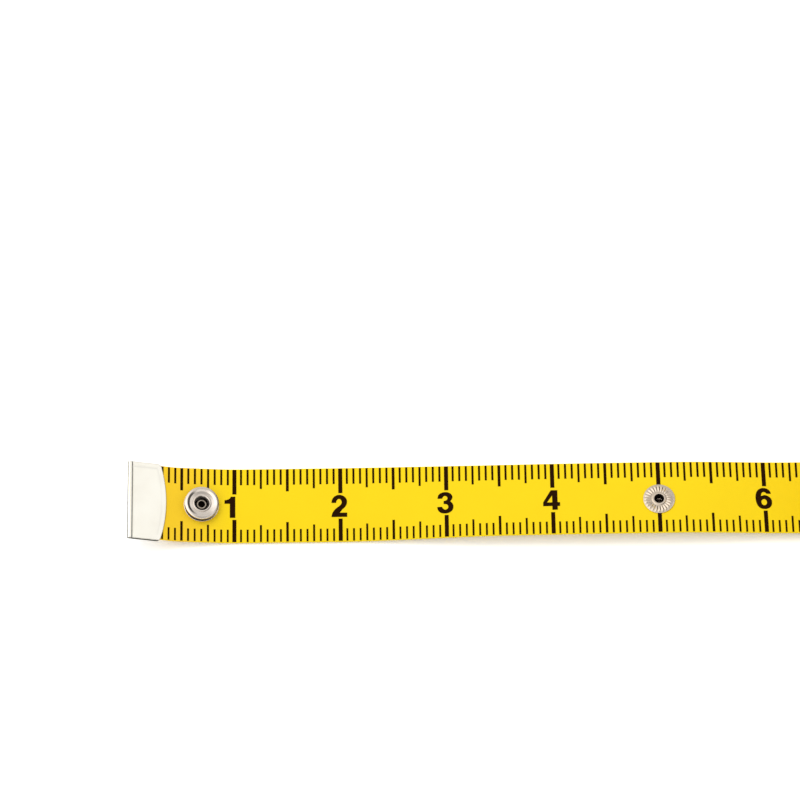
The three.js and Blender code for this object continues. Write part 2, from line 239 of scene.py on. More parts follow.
@dataclass(frozen=True)
class PlatedMetal:
    """A bright plated sheet, blurred by fine scratches, with painted shade in its creases and
    recesses.
    """

    name: str
    colour: str
    worn_colour: str
    roughness: tuple[float, float]
    cloud_size: float
    scratch_pitch: float
    scratch_height: float
    scratch_stretch: tuple[float, float, float] = (1.0, 1.0, 1.0)
    scratch_strength: float = 0.4
    # Painted shade: a near-black brown laid in uneven patches, duller and not metal where it lies
    grime_colour: str = "#0E0804"
    grime_size: float = 0.7
    grime_spread: tuple[float, float] = (0.35, 0.55)
    grime_thinnest: float = 0.85
    grime_dulls: float = 0.75
    specular: float = 0.05

    def make(self) -> bpy.types.Material:
        """Builds the material on object coordinates.

        Returns:
            The material.
        """
        material, tree, shader = new_material(self.name)
        where = add_node(tree, "ShaderNodeTexCoord")
        # Clouds of handling that dull the plate and warm it slightly
        cloud = add_node(tree, "ShaderNodeTexNoise", {
            "Vector": where.outputs["Object"], "Scale": 1 / (self.cloud_size * MM),
            "Detail": 4.0})
        tint = add_node(tree, "ShaderNodeMix", {
            "Factor": cloud.outputs["Fac"], "A": linear(self.colour),
            "B": linear(self.worn_colour)}, data_type="RGBA")
        dull = add_node(tree, "ShaderNodeMapRange", {
            "Value": cloud.outputs["Fac"], "From Min": NOISE_SPREAD[0],
            "From Max": NOISE_SPREAD[1], "To Min": self.roughness[0],
            "To Max": self.roughness[1]})
        # Painted shade lies where the mesh's attribute says, in creases and recesses, and lies
        # unevenly in them
        shade_mask = add_node(tree, "ShaderNodeAttribute", attribute_name="grime")
        shade_patches = add_node(tree, "ShaderNodeTexNoise", {
            "Vector": where.outputs["Object"], "Scale": 1 / (self.grime_size * MM),
            "Detail": 2.0})
        uneven = add_node(tree, "ShaderNodeMapRange", {
            "Value": shade_patches.outputs["Fac"], "From Min": self.grime_spread[0],
            "From Max": self.grime_spread[1], "To Min": self.grime_thinnest, "To Max": 1.0})
        painted_dark = add_node(tree, "ShaderNodeMath", {
            0: shade_mask.outputs["Fac"], 1: uneven.outputs["Result"]}, operation="MULTIPLY",
            use_clamp=True)
        tint = add_node(tree, "ShaderNodeMix", {
            "Factor": painted_dark.outputs[0], "A": tint.outputs["Result"],
            "B": linear(self.grime_colour)}, data_type="RGBA")
        dull = add_node(tree, "ShaderNodeMath", {
            0: painted_dark.outputs[0], 1: self.grime_dulls, 2: dull.outputs["Result"]},
            operation="MULTIPLY_ADD")
        # Rolling and polishing lines, drawn coarser than the real ones so that they show
        lines = add_node(tree, "ShaderNodeMapping", {
            "Vector": where.outputs["Object"], "Scale": self.scratch_stretch})
        scratch = add_node(tree, "ShaderNodeTexNoise", {
            "Vector": lines.outputs["Vector"], "Scale": 1 / (self.scratch_pitch * MM),
            "Detail": 2.0})
        bump = add_node(tree, "ShaderNodeBump", {
            "Height": scratch.outputs["Fac"], "Distance": self.scratch_height * MM,
            "Strength": self.scratch_strength})
        unshaded = add_node(tree, "ShaderNodeMath", {0: 1.0, 1: painted_dark.outputs[0]},
                        operation="SUBTRACT")
        tree.links.new(tint.outputs["Result"], shader.inputs["Base Color"])
        tree.links.new(dull.outputs[0], shader.inputs["Roughness"])
        tree.links.new(bump.outputs["Normal"], shader.inputs["Normal"])
        tree.links.new(unshaded.outputs[0], shader.inputs["Metallic"])
        shader.inputs["Specular IOR Level"].default_value = self.specular
        return material


# Rolled steel sheet, tinned and polished: a creamy white mirror with faint lines along the cap
TIN_PLATE = PlatedMetal(
    name="polished_tin_plate", colour="#FFFDF2", worn_colour="#FFF9EB", roughness=(0.12, 0.22),
    cloud_size=5.0, scratch_pitch=0.5, scratch_height=0.001, scratch_stretch=(1.0, 0.1, 1.0))
# Pressed brass, nickel plated and tumbled in a barrel: a warm silver mirror that is finely dimpled
NICKEL_PLATE = PlatedMetal(
    name="barrelled_nickel_plate", colour="#F2E9DF", worn_colour="#DCCFC0",
    roughness=(0.14, 0.24), cloud_size=1.6, scratch_pitch=0.25, scratch_height=0.0012)
# Nickel worn thin by handling, so that the brass under it shows through: shiny, darker and warmer
WORN_NICKEL = PlatedMetal(
    name="worn_nickel_on_brass", colour="#E4D5C2", worn_colour="#CFBEA8",
    roughness=(0.1, 0.18), cloud_size=1.2, scratch_pitch=0.25, scratch_height=0.0012)
# Drawn spring wire, left bare: a finely grained grey satin
SPRING_STEEL = PlatedMetal(
    name="drawn_spring_steel", colour="#A9A196", worn_colour="#8A8278", roughness=(0.25, 0.4),
    cloud_size=0.9, scratch_pitch=0.12, scratch_height=0.002)


@dataclass(frozen=True)
class MattePaper:
    """A paper sweep: so white that only the soft shadow close to the tape shows on it."""

    name: str = "white_paper_sweep"
    colour: str = "#F4F4F4"
    seen_white: float = 1.5

    def make(self) -> bpy.types.Material:
        """Builds the material, whose white the camera sees over-exposed.

        Returns:
            The material.
        """
        material, tree, shader = new_material(self.name)
        ray = add_node(tree, "ShaderNodeLightPath")
        tint = add_node(tree, "ShaderNodeMix", {
            "Factor": ray.outputs["Is Camera Ray"], "A": linear(self.colour),
            "B": (self.seen_white, self.seen_white, self.seen_white, 1.0)}, data_type="RGBA")
        tree.links.new(tint.outputs["Result"], shader.inputs["Base Color"])
        shader.inputs["Roughness"].default_value = 1.0
        shader.inputs["Specular IOR Level"].default_value = 0.0
        return material


# The way the ribbon lies


@dataclass
class TapePath:
    """The ribbon's middle line, from its zero end over the run and round the roll, in mm."""

    length: float = 1524.0
    width: float = 18.75
    thickness: float = 0.5
    seat_gap: float = 0.05
    floor_gap: float = 0.05
    zero_inset: float = 0.6
    cap_length: float = 9.5
    cap_sheet: float = 0.3
    cap_panel_height: float = 0.14
    socket_setback: float = 7.9625
    socket_hold: float = 4.3
    flange_radius: float = 3.8
    flange_depth: float = 0.39
    stud_place: float = 127.0
    stud_aside: float = -0.55
    stud_height: float = 2.05
    stud_head_radius: float = 1.68
    run_length: float = 186.0
    curl_angle: float = math.radians(19.5)
    socket_curl_share: float = 0.41
    lean_angle: float = math.radians(-5.8)
    lean_before_shares: tuple[float, float] = (0.4, 0.7)
    lean_after_shares: tuple[float, float] = (0.52, 0.94)
    hump_before_share: float = 0.65
    hump_after_share: float = 0.58
    turn_gap: float = 0.45
    core_bend_radius: float = 4.0
    core_clearance: float = 0.74
    reach_samples: int = 400
    packed_facets: int = 24
    origin: float = -1.0
    step: float = 0.5
    reach: list[float] = field(default_factory=list)

    def __post_init__(self) -> None:
        """Lays the run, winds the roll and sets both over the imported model."""
        self.lay_run()
        self.wind_roll()
        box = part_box("ribbon_roll")[1].x / MM
        self.shift = box - self.reach[-1] - self.roll_reach()

    def lay_run(self) -> None:
        """Works out the curl of the capped end, and how far the run reaches along X."""
        half = self.thickness / 2
        self.socket_place = self.cap_length + self.socket_setback
        self.flat_start = self.socket_place - self.socket_hold
        self.flat_end = self.socket_place + self.socket_hold
        self.cap_slope = math.sin(self.curl_angle)
        self.socket_slope = math.sin(self.socket_curl_share * self.curl_angle)
        level = math.sqrt(1 - self.socket_slope ** 2)
        rise = (half + self.flange_depth) * level + self.flange_radius * self.socket_slope
        rise += self.floor_gap - half
        # The curl runs out as a cube, which starts three times as steep as it is on average
        self.curl_reach = self.flat_end + 3 * (rise / self.socket_slope - self.socket_hold)
        self.reach = [0.0]
        part = self.run_length / self.reach_samples
        for i in range(self.reach_samples):
            slope = self.slope_at((i + 0.5) * part)
            self.reach.append(self.reach[-1] + part * math.sqrt(1 - slope * slope))

    def wind_roll(self) -> None:
        """Works out the involute of the roll, and the bend and the straight end in its core."""
        self.evolute = (self.thickness + self.turn_gap) / (2 * math.pi)
        span = self.cap_length + self.core_bend_radius
        rest = self.core_bend_radius + self.thickness / 2 + self.seat_gap + self.cap_sheet
        rest += self.cap_panel_height
        # The inner cap's corner keeps its clearance from the innermost turn
        self.core_radius = (span ** 2 + rest ** 2 - self.core_clearance ** 2)
        self.core_radius /= 2 * (span - self.core_clearance)
        self.core_length = self.core_bend_radius * math.pi / 2
        self.wound = self.length - self.run_length - self.core_length - self.cap_length
        self.roll_radius = math.sqrt(self.core_radius ** 2 + 2 * self.evolute * self.wound)
        self.roll_angle = (self.roll_radius - self.core_radius) / self.evolute

    def roll_reach(self) -> float:
        """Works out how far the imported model's roll, which has flat facets, reaches.

        Returns:
            The reach past the end of the run along X, in mm.
        """
        step = 2 * math.pi / self.packed_facets
        out = []
        for i in range(self.packed_facets // 2):
            turned = (i + 0.5) * step
            radius = self.roll_radius - self.evolute * turned
            x = radius * math.sin(turned) + self.evolute * (1 - math.cos(turned))
            corner = radius * (1 / math.cos(step / 2) - 1) + self.thickness / 2
            out.append(x + corner * math.sin(turned))
        return max(out)

    def curl_height(self, place: float) -> float:
        """Works out how much the curl of the capped end lifts the ribbon.

        Args:
            place: distance along the ribbon from its zero end.

        Returns:
            The lift.
        """
        ease = self.curl_reach - self.flat_end
        if place >= self.curl_reach:
            return 0.0
        if place >= self.flat_end:
            return self.socket_slope * (self.curl_reach - place) ** 3 / (3 * ease ** 2)
        flat = ease / 3 + self.flat_end - max(place, self.flat_start)
        if place >= self.flat_start:
            return self.socket_slope * flat
        bend = self.flat_start - self.cap_length
        bent = min(self.flat_start - place, bend)
        rise = self.socket_slope * bent
        rise += (self.cap_slope - self.socket_slope) * bent ** 2 / (2 * bend)
        rise += self.cap_slope * max(self.cap_length - place, 0.0)
        return self.socket_slope * flat + rise

    def lean_at(self, place: float) -> float:
        """Works out how far the ribbon leans onto its far edge.

        Args:
            place: distance along the ribbon from its zero end.

        Returns:
            The angle in radians.
        """
        rest = self.run_length - self.stud_place
        comes = ease_between(place / self.stud_place, *self.lean_before_shares)
        goes = ease_between((place - self.stud_place) / rest, *self.lean_after_shares)
        return self.lean_angle * comes * (1 - goes)

    def edge_rise(self, lean: float) -> float:
        """Returns how high a leaning ribbon's middle lies over its lower edge."""
        return self.width / 2 * abs(math.sin(lean)) + self.thickness / 2 * math.cos(lean)

    def hump_at(self, place: float) -> float:
        """Works out how much the stud under the ribbon lifts it.

        Args:
            place: distance along the ribbon from its zero end.

        Returns:
            The lift.
        """
        lean = abs(self.lean_angle)
        need = (self.thickness / 2 + self.seat_gap + self.stud_height) * math.cos(lean)
        need += self.stud_head_radius * math.sin(lean) + self.floor_gap
        hold = self.flange_radius + self.seat_gap
        reach = self.hump_before_share * self.stud_place
        if place >= self.stud_place:
            reach = self.hump_after_share * (self.run_length - self.stud_place)
        away = (abs(place - self.stud_place) - hold) / (reach - hold)
        away = min(max(away, 0.0), 1.0)
        return (need - self.edge_rise(self.lean_angle)) * (1 + math.cos(math.pi * away)) / 2

    def height_at(self, place: float) -> float:
        """Returns the height of the ribbon's middle line over the floor."""
        return self.edge_rise(self.lean_at(place)) + self.hump_at(place) + self.curl_height(place)

    def slope_at(self, place: float) -> float:
        """Returns how steeply the ribbon falls at a place, as the sine of the angle."""
        step = self.run_length / self.reach_samples / 2
        return (self.height_at(place - step) - self.height_at(place + step)) / (2 * step)

    def station(self, place: float) -> tuple[Vector, Vector, Vector, Vector]:
        """Works out where the ribbon is at a place.

        Args:
            place: distance along the ribbon from its zero end, in mm.

        Returns:
            The middle point, and the directions along, across and out of the printed face.
        """
        lean = 0.0
        if place <= self.run_length:
            part = place / self.run_length * self.reach_samples
            i = min(max(math.floor(part), 0), self.reach_samples - 1)
            x = self.reach[i] + (self.reach[i + 1] - self.reach[i]) * (part - i)
            z = self.height_at(place)
            turned = -math.asin(self.slope_at(place))
            lean = self.lean_at(place)
        else:
            x, z, turned = self.rolled(place - self.run_length)
        along = Vector((math.cos(turned), 0.0, math.sin(turned)))
        across = Matrix.Rotation(lean, 3, along) @ Vector((0.0, 1.0, 0.0))
        middle = Vector((x + self.shift, 0.0, z))
        return middle, along, across, along.cross(across)

    def rolled(self, past: float) -> tuple[float, float, float]:
        """Works out a place in the roll.

        Args:
            past: distance along the ribbon past the end of the run, in mm.

        Returns:
            X before the shift, Z and the angle turned through.
        """
        wound = min(past, self.wound)
        turned = (self.roll_radius
                  - math.sqrt(self.roll_radius ** 2 - 2 * self.evolute * wound)) / self.evolute
        radius = self.roll_radius - self.evolute * turned
        x = radius * math.sin(turned) + self.evolute * (1 - math.cos(turned))
        z = self.roll_radius - radius * math.cos(turned) - self.evolute * math.sin(turned)
        bent = min(max(past - self.wound, 0.0), self.core_length) / self.core_bend_radius
        x += self.core_bend_radius * (math.sin(turned + bent) - math.sin(turned))
        z += self.core_bend_radius * (math.cos(turned) - math.cos(turned + bent))
        straight = max(past - self.wound - self.core_length, 0.0)
        x += straight * math.cos(turned + bent)
        z += straight * math.sin(turned + bent)
        return x + self.reach[-1], z + self.thickness / 2, turned + bent

    def frame_at(self, place: float, aside: float = 0.0) -> Matrix:
        """Returns the matrix, from mm to metres, that puts a piece on the ribbon.

        Args:
            place: the distance from the zero line.
            aside: the distance from the middle line.

        Returns:
            The matrix.
        """
        middle, along, across, out = self.station(place)
        turn = Matrix((along, across, out)).transposed().to_4x4()
        return (Matrix.Translation((middle + across * aside) * MM) @ turn
                @ Matrix.Diagonal((MM, MM, MM, 1.0)))

    def mesh(self) -> bpy.types.Mesh:
        """Builds the path that the ribbon and its print are laid on.

        Returns:
            A mesh of points in metres, one each step, with their directions across and out.
        """
        count = round((self.length - self.origin) / self.step) + 1
        spots = [self.station(self.origin + i * self.step) for i in range(count)]
        mesh = bpy.data.meshes.new("path")
        mesh.from_pydata([spot[0] * MM for spot in spots], [], [])
        for name, part in (("across", 2), ("out", 3)):
            values = np.array([spot[part] for spot in spots], np.float32).ravel()
            mesh.attributes.new(name, "FLOAT_VECTOR", "POINT").data.foreach_set("vector", values)
        return mesh


def ease_between(value: float, start: float, end: float) -> float:
    """Returns 0 before start, 1 after end and a smooth step between them."""
    share = min(max((value - start) / (end - start), 0.0), 1.0)
    return share * share * (3 - 2 * share)


# Geometry node trees


def new_tree(name: str, **inputs: list[str]) -> bpy.types.NodeTree:
    """Starts a geometry node tree with named inputs.

    Args:
        name: the tree's name.
        inputs: for each kind of socket, the names of the inputs of that kind.

    Returns:
        The tree, with its group input and output nodes named "in" and "out".
    """
    tree = bpy.data.node_groups.new(name, "GeometryNodeTree")
    tree.interface.new_socket("Geometry", in_out="OUTPUT", socket_type="NodeSocketGeometry")
    tree.interface.new_socket("Geometry", in_out="INPUT", socket_type="NodeSocketGeometry")
    for kind, labels in inputs.items():
        for label in labels:
            tree.interface.new_socket(label, in_out="INPUT", socket_type=f"NodeSocket{kind}")
    tree.nodes.new("NodeGroupInput").name = "in"
    tree.nodes.new("NodeGroupOutput").name = "out"
    return tree


def grow(tree: bpy.types.NodeTree, base: bpy.types.Mesh, values: dict[str, object],
         name: str) -> bpy.types.Mesh:
    """Runs a geometry node tree once on a base mesh and keeps the result as a plain mesh.

    Args:
        tree: the tree.
        base: the mesh that it starts from.
        values: the value of each named input.
        name: the new mesh's name.

    Returns:
        The mesh, with no modifier left.
    """
    holder = bpy.data.objects.new(name, base)
    bpy.context.scene.collection.objects.link(holder)
    modifier = holder.modifiers.new("grow", "NODES")
    modifier.node_group = tree
    for socket in tree.interface.items_tree:
        if socket.in_out == "INPUT" and socket.name in values:
            modifier[socket.identifier] = values[socket.name]
    graph = bpy.context.evaluated_depsgraph_get()
    mesh = bpy.data.meshes.new_from_object(holder.evaluated_get(graph))
    mesh.name = name
    bpy.data.objects.remove(holder)
    return mesh


def lay_tree() -> bpy.types.NodeTree:
    """Builds the group that bends flat geometry onto the path.

    Flat geometry has X along the ribbon, Y across it and Z out of its face, in metres.

    Returns:
        The group, with the inputs Path, Origin and Step.
    """
    tree = new_tree("lay_on_path", Geometry=["Path"], Float=["Origin", "Step"])
    given = tree.nodes["in"].outputs
    flat = add_node(tree, "ShaderNodeSeparateXYZ", {
        0: add_node(tree, "GeometryNodeInputPosition").outputs[0]})
    past = add_node(tree, "ShaderNodeMath", {0: flat.outputs["X"], 1: given["Origin"]},
                    operation="SUBTRACT")
    steps = add_node(tree, "ShaderNodeMath", {0: past.outputs[0], 1: given["Step"]},
                     operation="DIVIDE")
    before = add_node(tree, "ShaderNodeMath", {0: steps.outputs[0]}, operation="FLOOR")
    share = add_node(tree, "ShaderNodeMath", {0: steps.outputs[0], 1: before.outputs[0]},
                     operation="SUBTRACT")
    after = add_node(tree, "ShaderNodeMath", {0: before.outputs[0], 1: 1.0}, operation="ADD")
    fields = [add_node(tree, "GeometryNodeInputPosition").outputs[0]]
    for name in ("across", "out"):
        fields.append(add_node(tree, "GeometryNodeInputNamedAttribute", {"Name": name},
                               data_type="FLOAT_VECTOR").outputs["Attribute"])
    found = []
    for value in fields:
        ends = [add_node(tree, "GeometryNodeSampleIndex", {
            "Geometry": given["Path"], "Value": value, "Index": index.outputs[0]},
            data_type="FLOAT_VECTOR", clamp=True).outputs[0] for index in (before, after)]
        found.append(add_node(tree, "ShaderNodeMix", {
            "Factor": share.outputs[0], "A": ends[0], "B": ends[1]},
            data_type="VECTOR").outputs["Result"])
    spot = found[0]
    for axis, direction in (("Y", found[1]), ("Z", found[2])):
        moved = add_node(tree, "ShaderNodeVectorMath", {
            0: direction, "Scale": flat.outputs[axis]}, operation="SCALE")
        spot = add_node(tree, "ShaderNodeVectorMath", {0: spot, 1: moved.outputs[0]},
                        operation="ADD").outputs[0]
    laid = add_node(tree, "GeometryNodeSetPosition", {
        "Geometry": given["Geometry"], "Position": spot})
    tree.links.new(laid.outputs[0], tree.nodes["out"].inputs[0])
    return tree


def end_tree(tree: bpy.types.NodeTree, shape: bpy.types.NodeSocket) -> bpy.types.NodeTree:
    """Ends a tree: sets its geometry's material and puts it out.

    Args:
        tree: the tree, with the input Material.
        shape: the output that gives the geometry.

    Returns:
        The same tree.
    """
    dressed = add_node(tree, "GeometryNodeSetMaterial", {
        "Geometry": shape, "Material": tree.nodes["in"].outputs["Material"]})
    tree.links.new(dressed.outputs[0], tree.nodes["out"].inputs[0])
    return tree


def end_laid_tree(tree: bpy.types.NodeTree, flat: bpy.types.NodeSocket,
                  lay: bpy.types.NodeTree) -> bpy.types.NodeTree:
    """Ends a tree of flat geometry: realizes it, keeps its flat place and lays it on the path.

    Args:
        tree: the tree, with the inputs Origin, Step and Material.
        flat: the output that gives the flat geometry.
        lay: the group that bends it onto the path.

    Returns:
        The same tree.
    """
    given = tree.nodes["in"].outputs
    real = add_node(tree, "GeometryNodeRealizeInstances", {"Geometry": flat})
    spot = add_node(tree, "GeometryNodeInputPosition")
    marked = add_node(tree, "GeometryNodeStoreNamedAttribute", {
        "Geometry": real.outputs[0], "Name": "flat", "Value": spot.outputs[0]},
        data_type="FLOAT2", domain="CORNER")
    laid = add_node(tree, "GeometryNodeGroup", node_tree=lay)
    tree.links.new(marked.outputs[0], laid.inputs["Geometry"])
    tree.links.new(given["Geometry"], laid.inputs["Path"])
    tree.links.new(given["Origin"], laid.inputs["Origin"])
    tree.links.new(given["Step"], laid.inputs["Step"])
    return end_tree(tree, laid.outputs[0])


def cloth_tree(lay: bpy.types.NodeTree) -> bpy.types.NodeTree:
    """Builds the tree that sweeps a round-edged strip of cloth along the path.

    Args:
        lay: the group that bends flat geometry onto the path.

    Returns:
        The tree.
    """
    tree = new_tree("cloth_strip", Int=["Rings"], Material=["Material"], Float=[
        "Start", "End", "Width", "Thickness", "Edge Radius", "Origin", "Step"])
    given = tree.nodes["in"].outputs
    ends = [add_node(tree, "ShaderNodeCombineXYZ", {"X": given[name]}).outputs[0]
            for name in ("Start", "End")]
    line = add_node(tree, "GeometryNodeCurvePrimitiveLine", {"Start": ends[0], "End": ends[1]})
    rings = add_node(tree, "GeometryNodeResampleCurve", {
        "Curve": line.outputs[0], "Count": given["Rings"]})
    up = add_node(tree, "GeometryNodeSetCurveNormal", {"Curve": rings.outputs[0]}, mode="Z_UP")
    section = add_node(tree, "GeometryNodeCurvePrimitiveQuadrilateral", {
        "Width": given["Width"], "Height": given["Thickness"]})
    rounded = add_node(tree, "GeometryNodeFilletCurve", {
        "Curve": section.outputs[0], "Radius": given["Edge Radius"], "Count": 3}, mode="POLY")
    strip = add_node(tree, "GeometryNodeCurveToMesh", {
        "Curve": up.outputs[0], "Profile Curve": rounded.outputs[0], "Fill Caps": True})
    return end_laid_tree(tree, strip.outputs[0], lay)


def marks_tree(lay: bpy.types.NodeTree) -> bpy.types.NodeTree:
    """Builds the tree that prints one row of scale marks.

    Mark number n stands at n times the pitch. Its class is the first of three counts that divides
    n, and a mark that none divides is short.

    Args:
        lay: the group that bends flat geometry onto the path.

    Returns:
        The tree.
    """
    levels = ("Quarter", "Half", "Unit")
    tree = new_tree(
        "mark_row", Material=["Material"],
        Int=["First", "Count", *[f"{level} Every" for level in levels]],
        Float=["Zero", "Pitch", "Edge", "Way In", "Height", "Film", "Origin", "Step"],
        Vector=["Short Size", *[f"{level} Size" for level in levels]])
    given = tree.nodes["in"].outputs
    order = add_node(tree, "GeometryNodeInputIndex")
    number = add_node(tree, "FunctionNodeIntegerMath", {
        0: order.outputs[0], 1: given["First"]}, operation="ADD")
    size = given["Short Size"]
    for level in levels:
        left = add_node(tree, "FunctionNodeIntegerMath", {
            0: number.outputs[0], 1: given[f"{level} Every"]}, operation="MODULO")
        whole = add_node(tree, "FunctionNodeCompare", {2: left.outputs[0], 3: 0},
                         data_type="INT", operation="EQUAL")
        size = add_node(tree, "GeometryNodeSwitch", {
            "Switch": whole.outputs[0], "False": size, "True": given[f"{level} Size"]},
            input_type="VECTOR").outputs[0]
    along = add_node(tree, "ShaderNodeMath", {
        0: number.outputs[0], 1: given["Pitch"], 2: given["Zero"]}, operation="MULTIPLY_ADD")
    parts = add_node(tree, "ShaderNodeSeparateXYZ", {0: size})
    inward = add_node(tree, "ShaderNodeMath", {0: given["Way In"], 1: 0.5},
                      operation="MULTIPLY")
    across = add_node(tree, "ShaderNodeMath", {
        0: parts.outputs["Y"], 1: inward.outputs[0], 2: given["Edge"]},
        operation="MULTIPLY_ADD")
    spot = add_node(tree, "ShaderNodeCombineXYZ", {
        "X": along.outputs[0], "Y": across.outputs[0], "Z": given["Height"]})
    points = add_node(tree, "GeometryNodePoints", {
        "Count": given["Count"], "Position": spot.outputs[0]})
    box = add_node(tree, "GeometryNodeMeshCube", {"Size": (1.0, 1.0, 1.0)})
    stretch = add_node(tree, "ShaderNodeCombineXYZ", {
        "X": parts.outputs["X"], "Y": parts.outputs["Y"], "Z": given["Film"]})
    row = add_node(tree, "GeometryNodeInstanceOnPoints", {
        "Points": points.outputs[0], "Instance": box.outputs[0],
        "Scale": stretch.outputs[0]})
    return end_laid_tree(tree, row.outputs[0], lay)


def digit_spot(tree: bpy.types.NodeTree, number: bpy.types.NodeSocket,
               rank: bpy.types.NodeSocket) -> bpy.types.NodeSocket:
    """Adds the nodes that stand a number's digits side by side, centred on its mark.

    Args:
        tree: the tree that prints the numbers.
        number: the output that gives the number.
        rank: the output that gives the digit's rank in it, from 0 for the last one.

    Returns:
        The output that gives the digit's place on the flat ribbon.
    """
    given = tree.nodes["in"].outputs
    tens, hundreds = (add_node(tree, "FunctionNodeCompare", {2: number, 3: most},
                               data_type="INT", operation="GREATER_THAN") for most in (9, 99))
    more = add_node(tree, "ShaderNodeMath", {0: tens.outputs[0], 1: hundreds.outputs[0]},
                    operation="ADD")
    offset = add_node(tree, "ShaderNodeMath", {0: more.outputs[0], 1: 0.5},
                      operation="MULTIPLY")
    offset = add_node(tree, "ShaderNodeMath", {0: offset.outputs[0], 1: rank},
                      operation="SUBTRACT")
    offset = add_node(tree, "ShaderNodeMath", {0: offset.outputs[0], 1: given["Advance"]},
                      operation="MULTIPLY")
    # The turn sets the direction that the digits are read in
    read = add_node(tree, "ShaderNodeCombineXYZ", {"X": offset.outputs[0]})
    aside = add_node(tree, "ShaderNodeVectorRotate", {
        "Vector": read.outputs[0], "Rotation": given["Turn"]}, rotation_type="EULER_XYZ")
    along = add_node(tree, "ShaderNodeMath", {
        0: number, 1: given["Pitch"], 2: given["Zero"]}, operation="MULTIPLY_ADD")
    middle = add_node(tree, "ShaderNodeCombineXYZ", {
        "X": along.outputs[0], "Y": given["Across"], "Z": given["Height"]})
    return add_node(tree, "ShaderNodeVectorMath", {
        0: middle.outputs[0], 1: aside.outputs[0]}, operation="ADD").outputs[0]


def numbers_tree(lay: bpy.types.NodeTree) -> bpy.types.NodeTree:
    """Builds the tree that prints the scale's numbers from ten digit shapes.

    Each number has three places for digits. A place stays empty where the number is too small
    for it.

    Args:
        lay: the group that bends flat geometry onto the path.

    Returns:
        The tree.
    """
    tree = new_tree(
        "number_row", Collection=["Digits"], Int=["First", "Count", "Left Out"],
        Float=["Zero", "Pitch", "Across", "Height", "Digit", "Advance", "Origin", "Step"],
        Vector=["Turn"], Material=["Material"])
    places = 3
    given = tree.nodes["in"].outputs
    order = add_node(tree, "GeometryNodeInputIndex")
    number = add_node(tree, "FunctionNodeIntegerMath", {0: order.outputs[0], 1: places},
                      operation="DIVIDE_FLOOR")
    number = add_node(tree, "FunctionNodeIntegerMath", {
        0: number.outputs[0], 1: given["First"]}, operation="ADD")
    rank = add_node(tree, "FunctionNodeIntegerMath", {0: order.outputs[0], 1: places},
                    operation="MODULO")
    weight = add_node(tree, "ShaderNodeMath", {0: 10.0, 1: rank.outputs[0]}, operation="POWER")
    shifted = add_node(tree, "FunctionNodeIntegerMath", {
        0: number.outputs[0], 1: weight.outputs[0]}, operation="DIVIDE_FLOOR")
    digit = add_node(tree, "FunctionNodeIntegerMath", {0: shifted.outputs[0], 1: 10},
                     operation="MODULO")
    filled = add_node(tree, "FunctionNodeCompare", {2: shifted.outputs[0], 3: 0},
                      data_type="INT", operation="GREATER_THAN")
    wanted = add_node(tree, "FunctionNodeCompare", {
        2: number.outputs[0], 3: given["Left Out"]}, data_type="INT", operation="NOT_EQUAL")
    shown = add_node(tree, "FunctionNodeBooleanMath", {
        0: filled.outputs[0], 1: wanted.outputs[0]}, operation="AND")
    spot = digit_spot(tree, number.outputs[0], rank.outputs[0])
    count = add_node(tree, "FunctionNodeIntegerMath", {0: given["Count"], 1: places},
                     operation="MULTIPLY")
    points = add_node(tree, "GeometryNodePoints", {
        "Count": count.outputs[0], "Position": spot})
    shapes = add_node(tree, "GeometryNodeCollectionInfo", {
        "Collection": given["Digits"], "Separate Children": True, "Reset Children": True})
    row = add_node(tree, "GeometryNodeInstanceOnPoints", {
        "Points": points.outputs[0], "Selection": shown.outputs[0],
        "Instance": shapes.outputs[0], "Pick Instance": True,
        "Instance Index": digit.outputs[0], "Rotation": given["Turn"],
        "Scale": given["Digit"]})
    return end_laid_tree(tree, row.outputs[0], lay)


# Shared mesh making


def shade(mesh: bpy.types.Mesh, sharp_over: float = 35.0) -> bpy.types.Mesh:
    """Shades a mesh smooth but for its sharp edges.

    Args:
        mesh: the mesh.
        sharp_over: the angle in degrees over which an edge is sharp.

    Returns:
        The same mesh.
    """
    mesh.shade_smooth()
    mesh.set_sharp_from_angle(angle=math.radians(sharp_over))
    return mesh


def piece_of(mesh: bpy.types.Mesh, name: str) -> bpy.types.Object:
    """Puts a finished mesh into the scene as a piece.

    Args:
        mesh: the mesh, in metres.
        name: the piece's name.

    Returns:
        The piece.
    """
    piece = bpy.data.objects.new(name, mesh)
    bpy.context.scene.collection.objects.link(piece)
    return piece


def paint_shade(mesh: bpy.types.Mesh, amount: Callable[[Vector], float]) -> bpy.types.Mesh:
    """Stores how much painted shade, from 0 to 1, lies at each point of a mesh.

    Args:
        mesh: the mesh, in mm.
        amount: gives the painted shade at a point.

    Returns:
        The same mesh.
    """
    layer = mesh.attributes.new("grime", "FLOAT", "POINT")
    layer.data.foreach_set("value", [amount(point.co) for point in mesh.vertices])
    return mesh


def rounded(points: list[tuple[float, float, float]], steps: int = 4) -> list[tuple[float, float]]:
    """Rounds the corners of a closed profile.

    Args:
        points: across, up and corner radius of each point, in mm.
        steps: how many stretches a rounded corner has.

    Returns:
        The points of the rounded profile.
    """
    made = []
    for i, (x, y, radius) in enumerate(points):
        here = Vector((x, y))
        if radius <= 0:
            made.append((x, y))
            continue
        before = Vector(points[i - 1][:2]) - here
        after = Vector(points[(i + 1) % len(points)][:2]) - here
        angle = before.angle(after)
        cut = min(radius / math.tan(angle / 2), before.length / 2, after.length / 2)
        start = here + before.normalized() * cut
        end = here + after.normalized() * cut
        for k in range(steps + 1):
            t = k / steps
            spot = start.lerp(here, t).lerp(here.lerp(end, t), t)
            made.append((spot.x, spot.y))
    return made


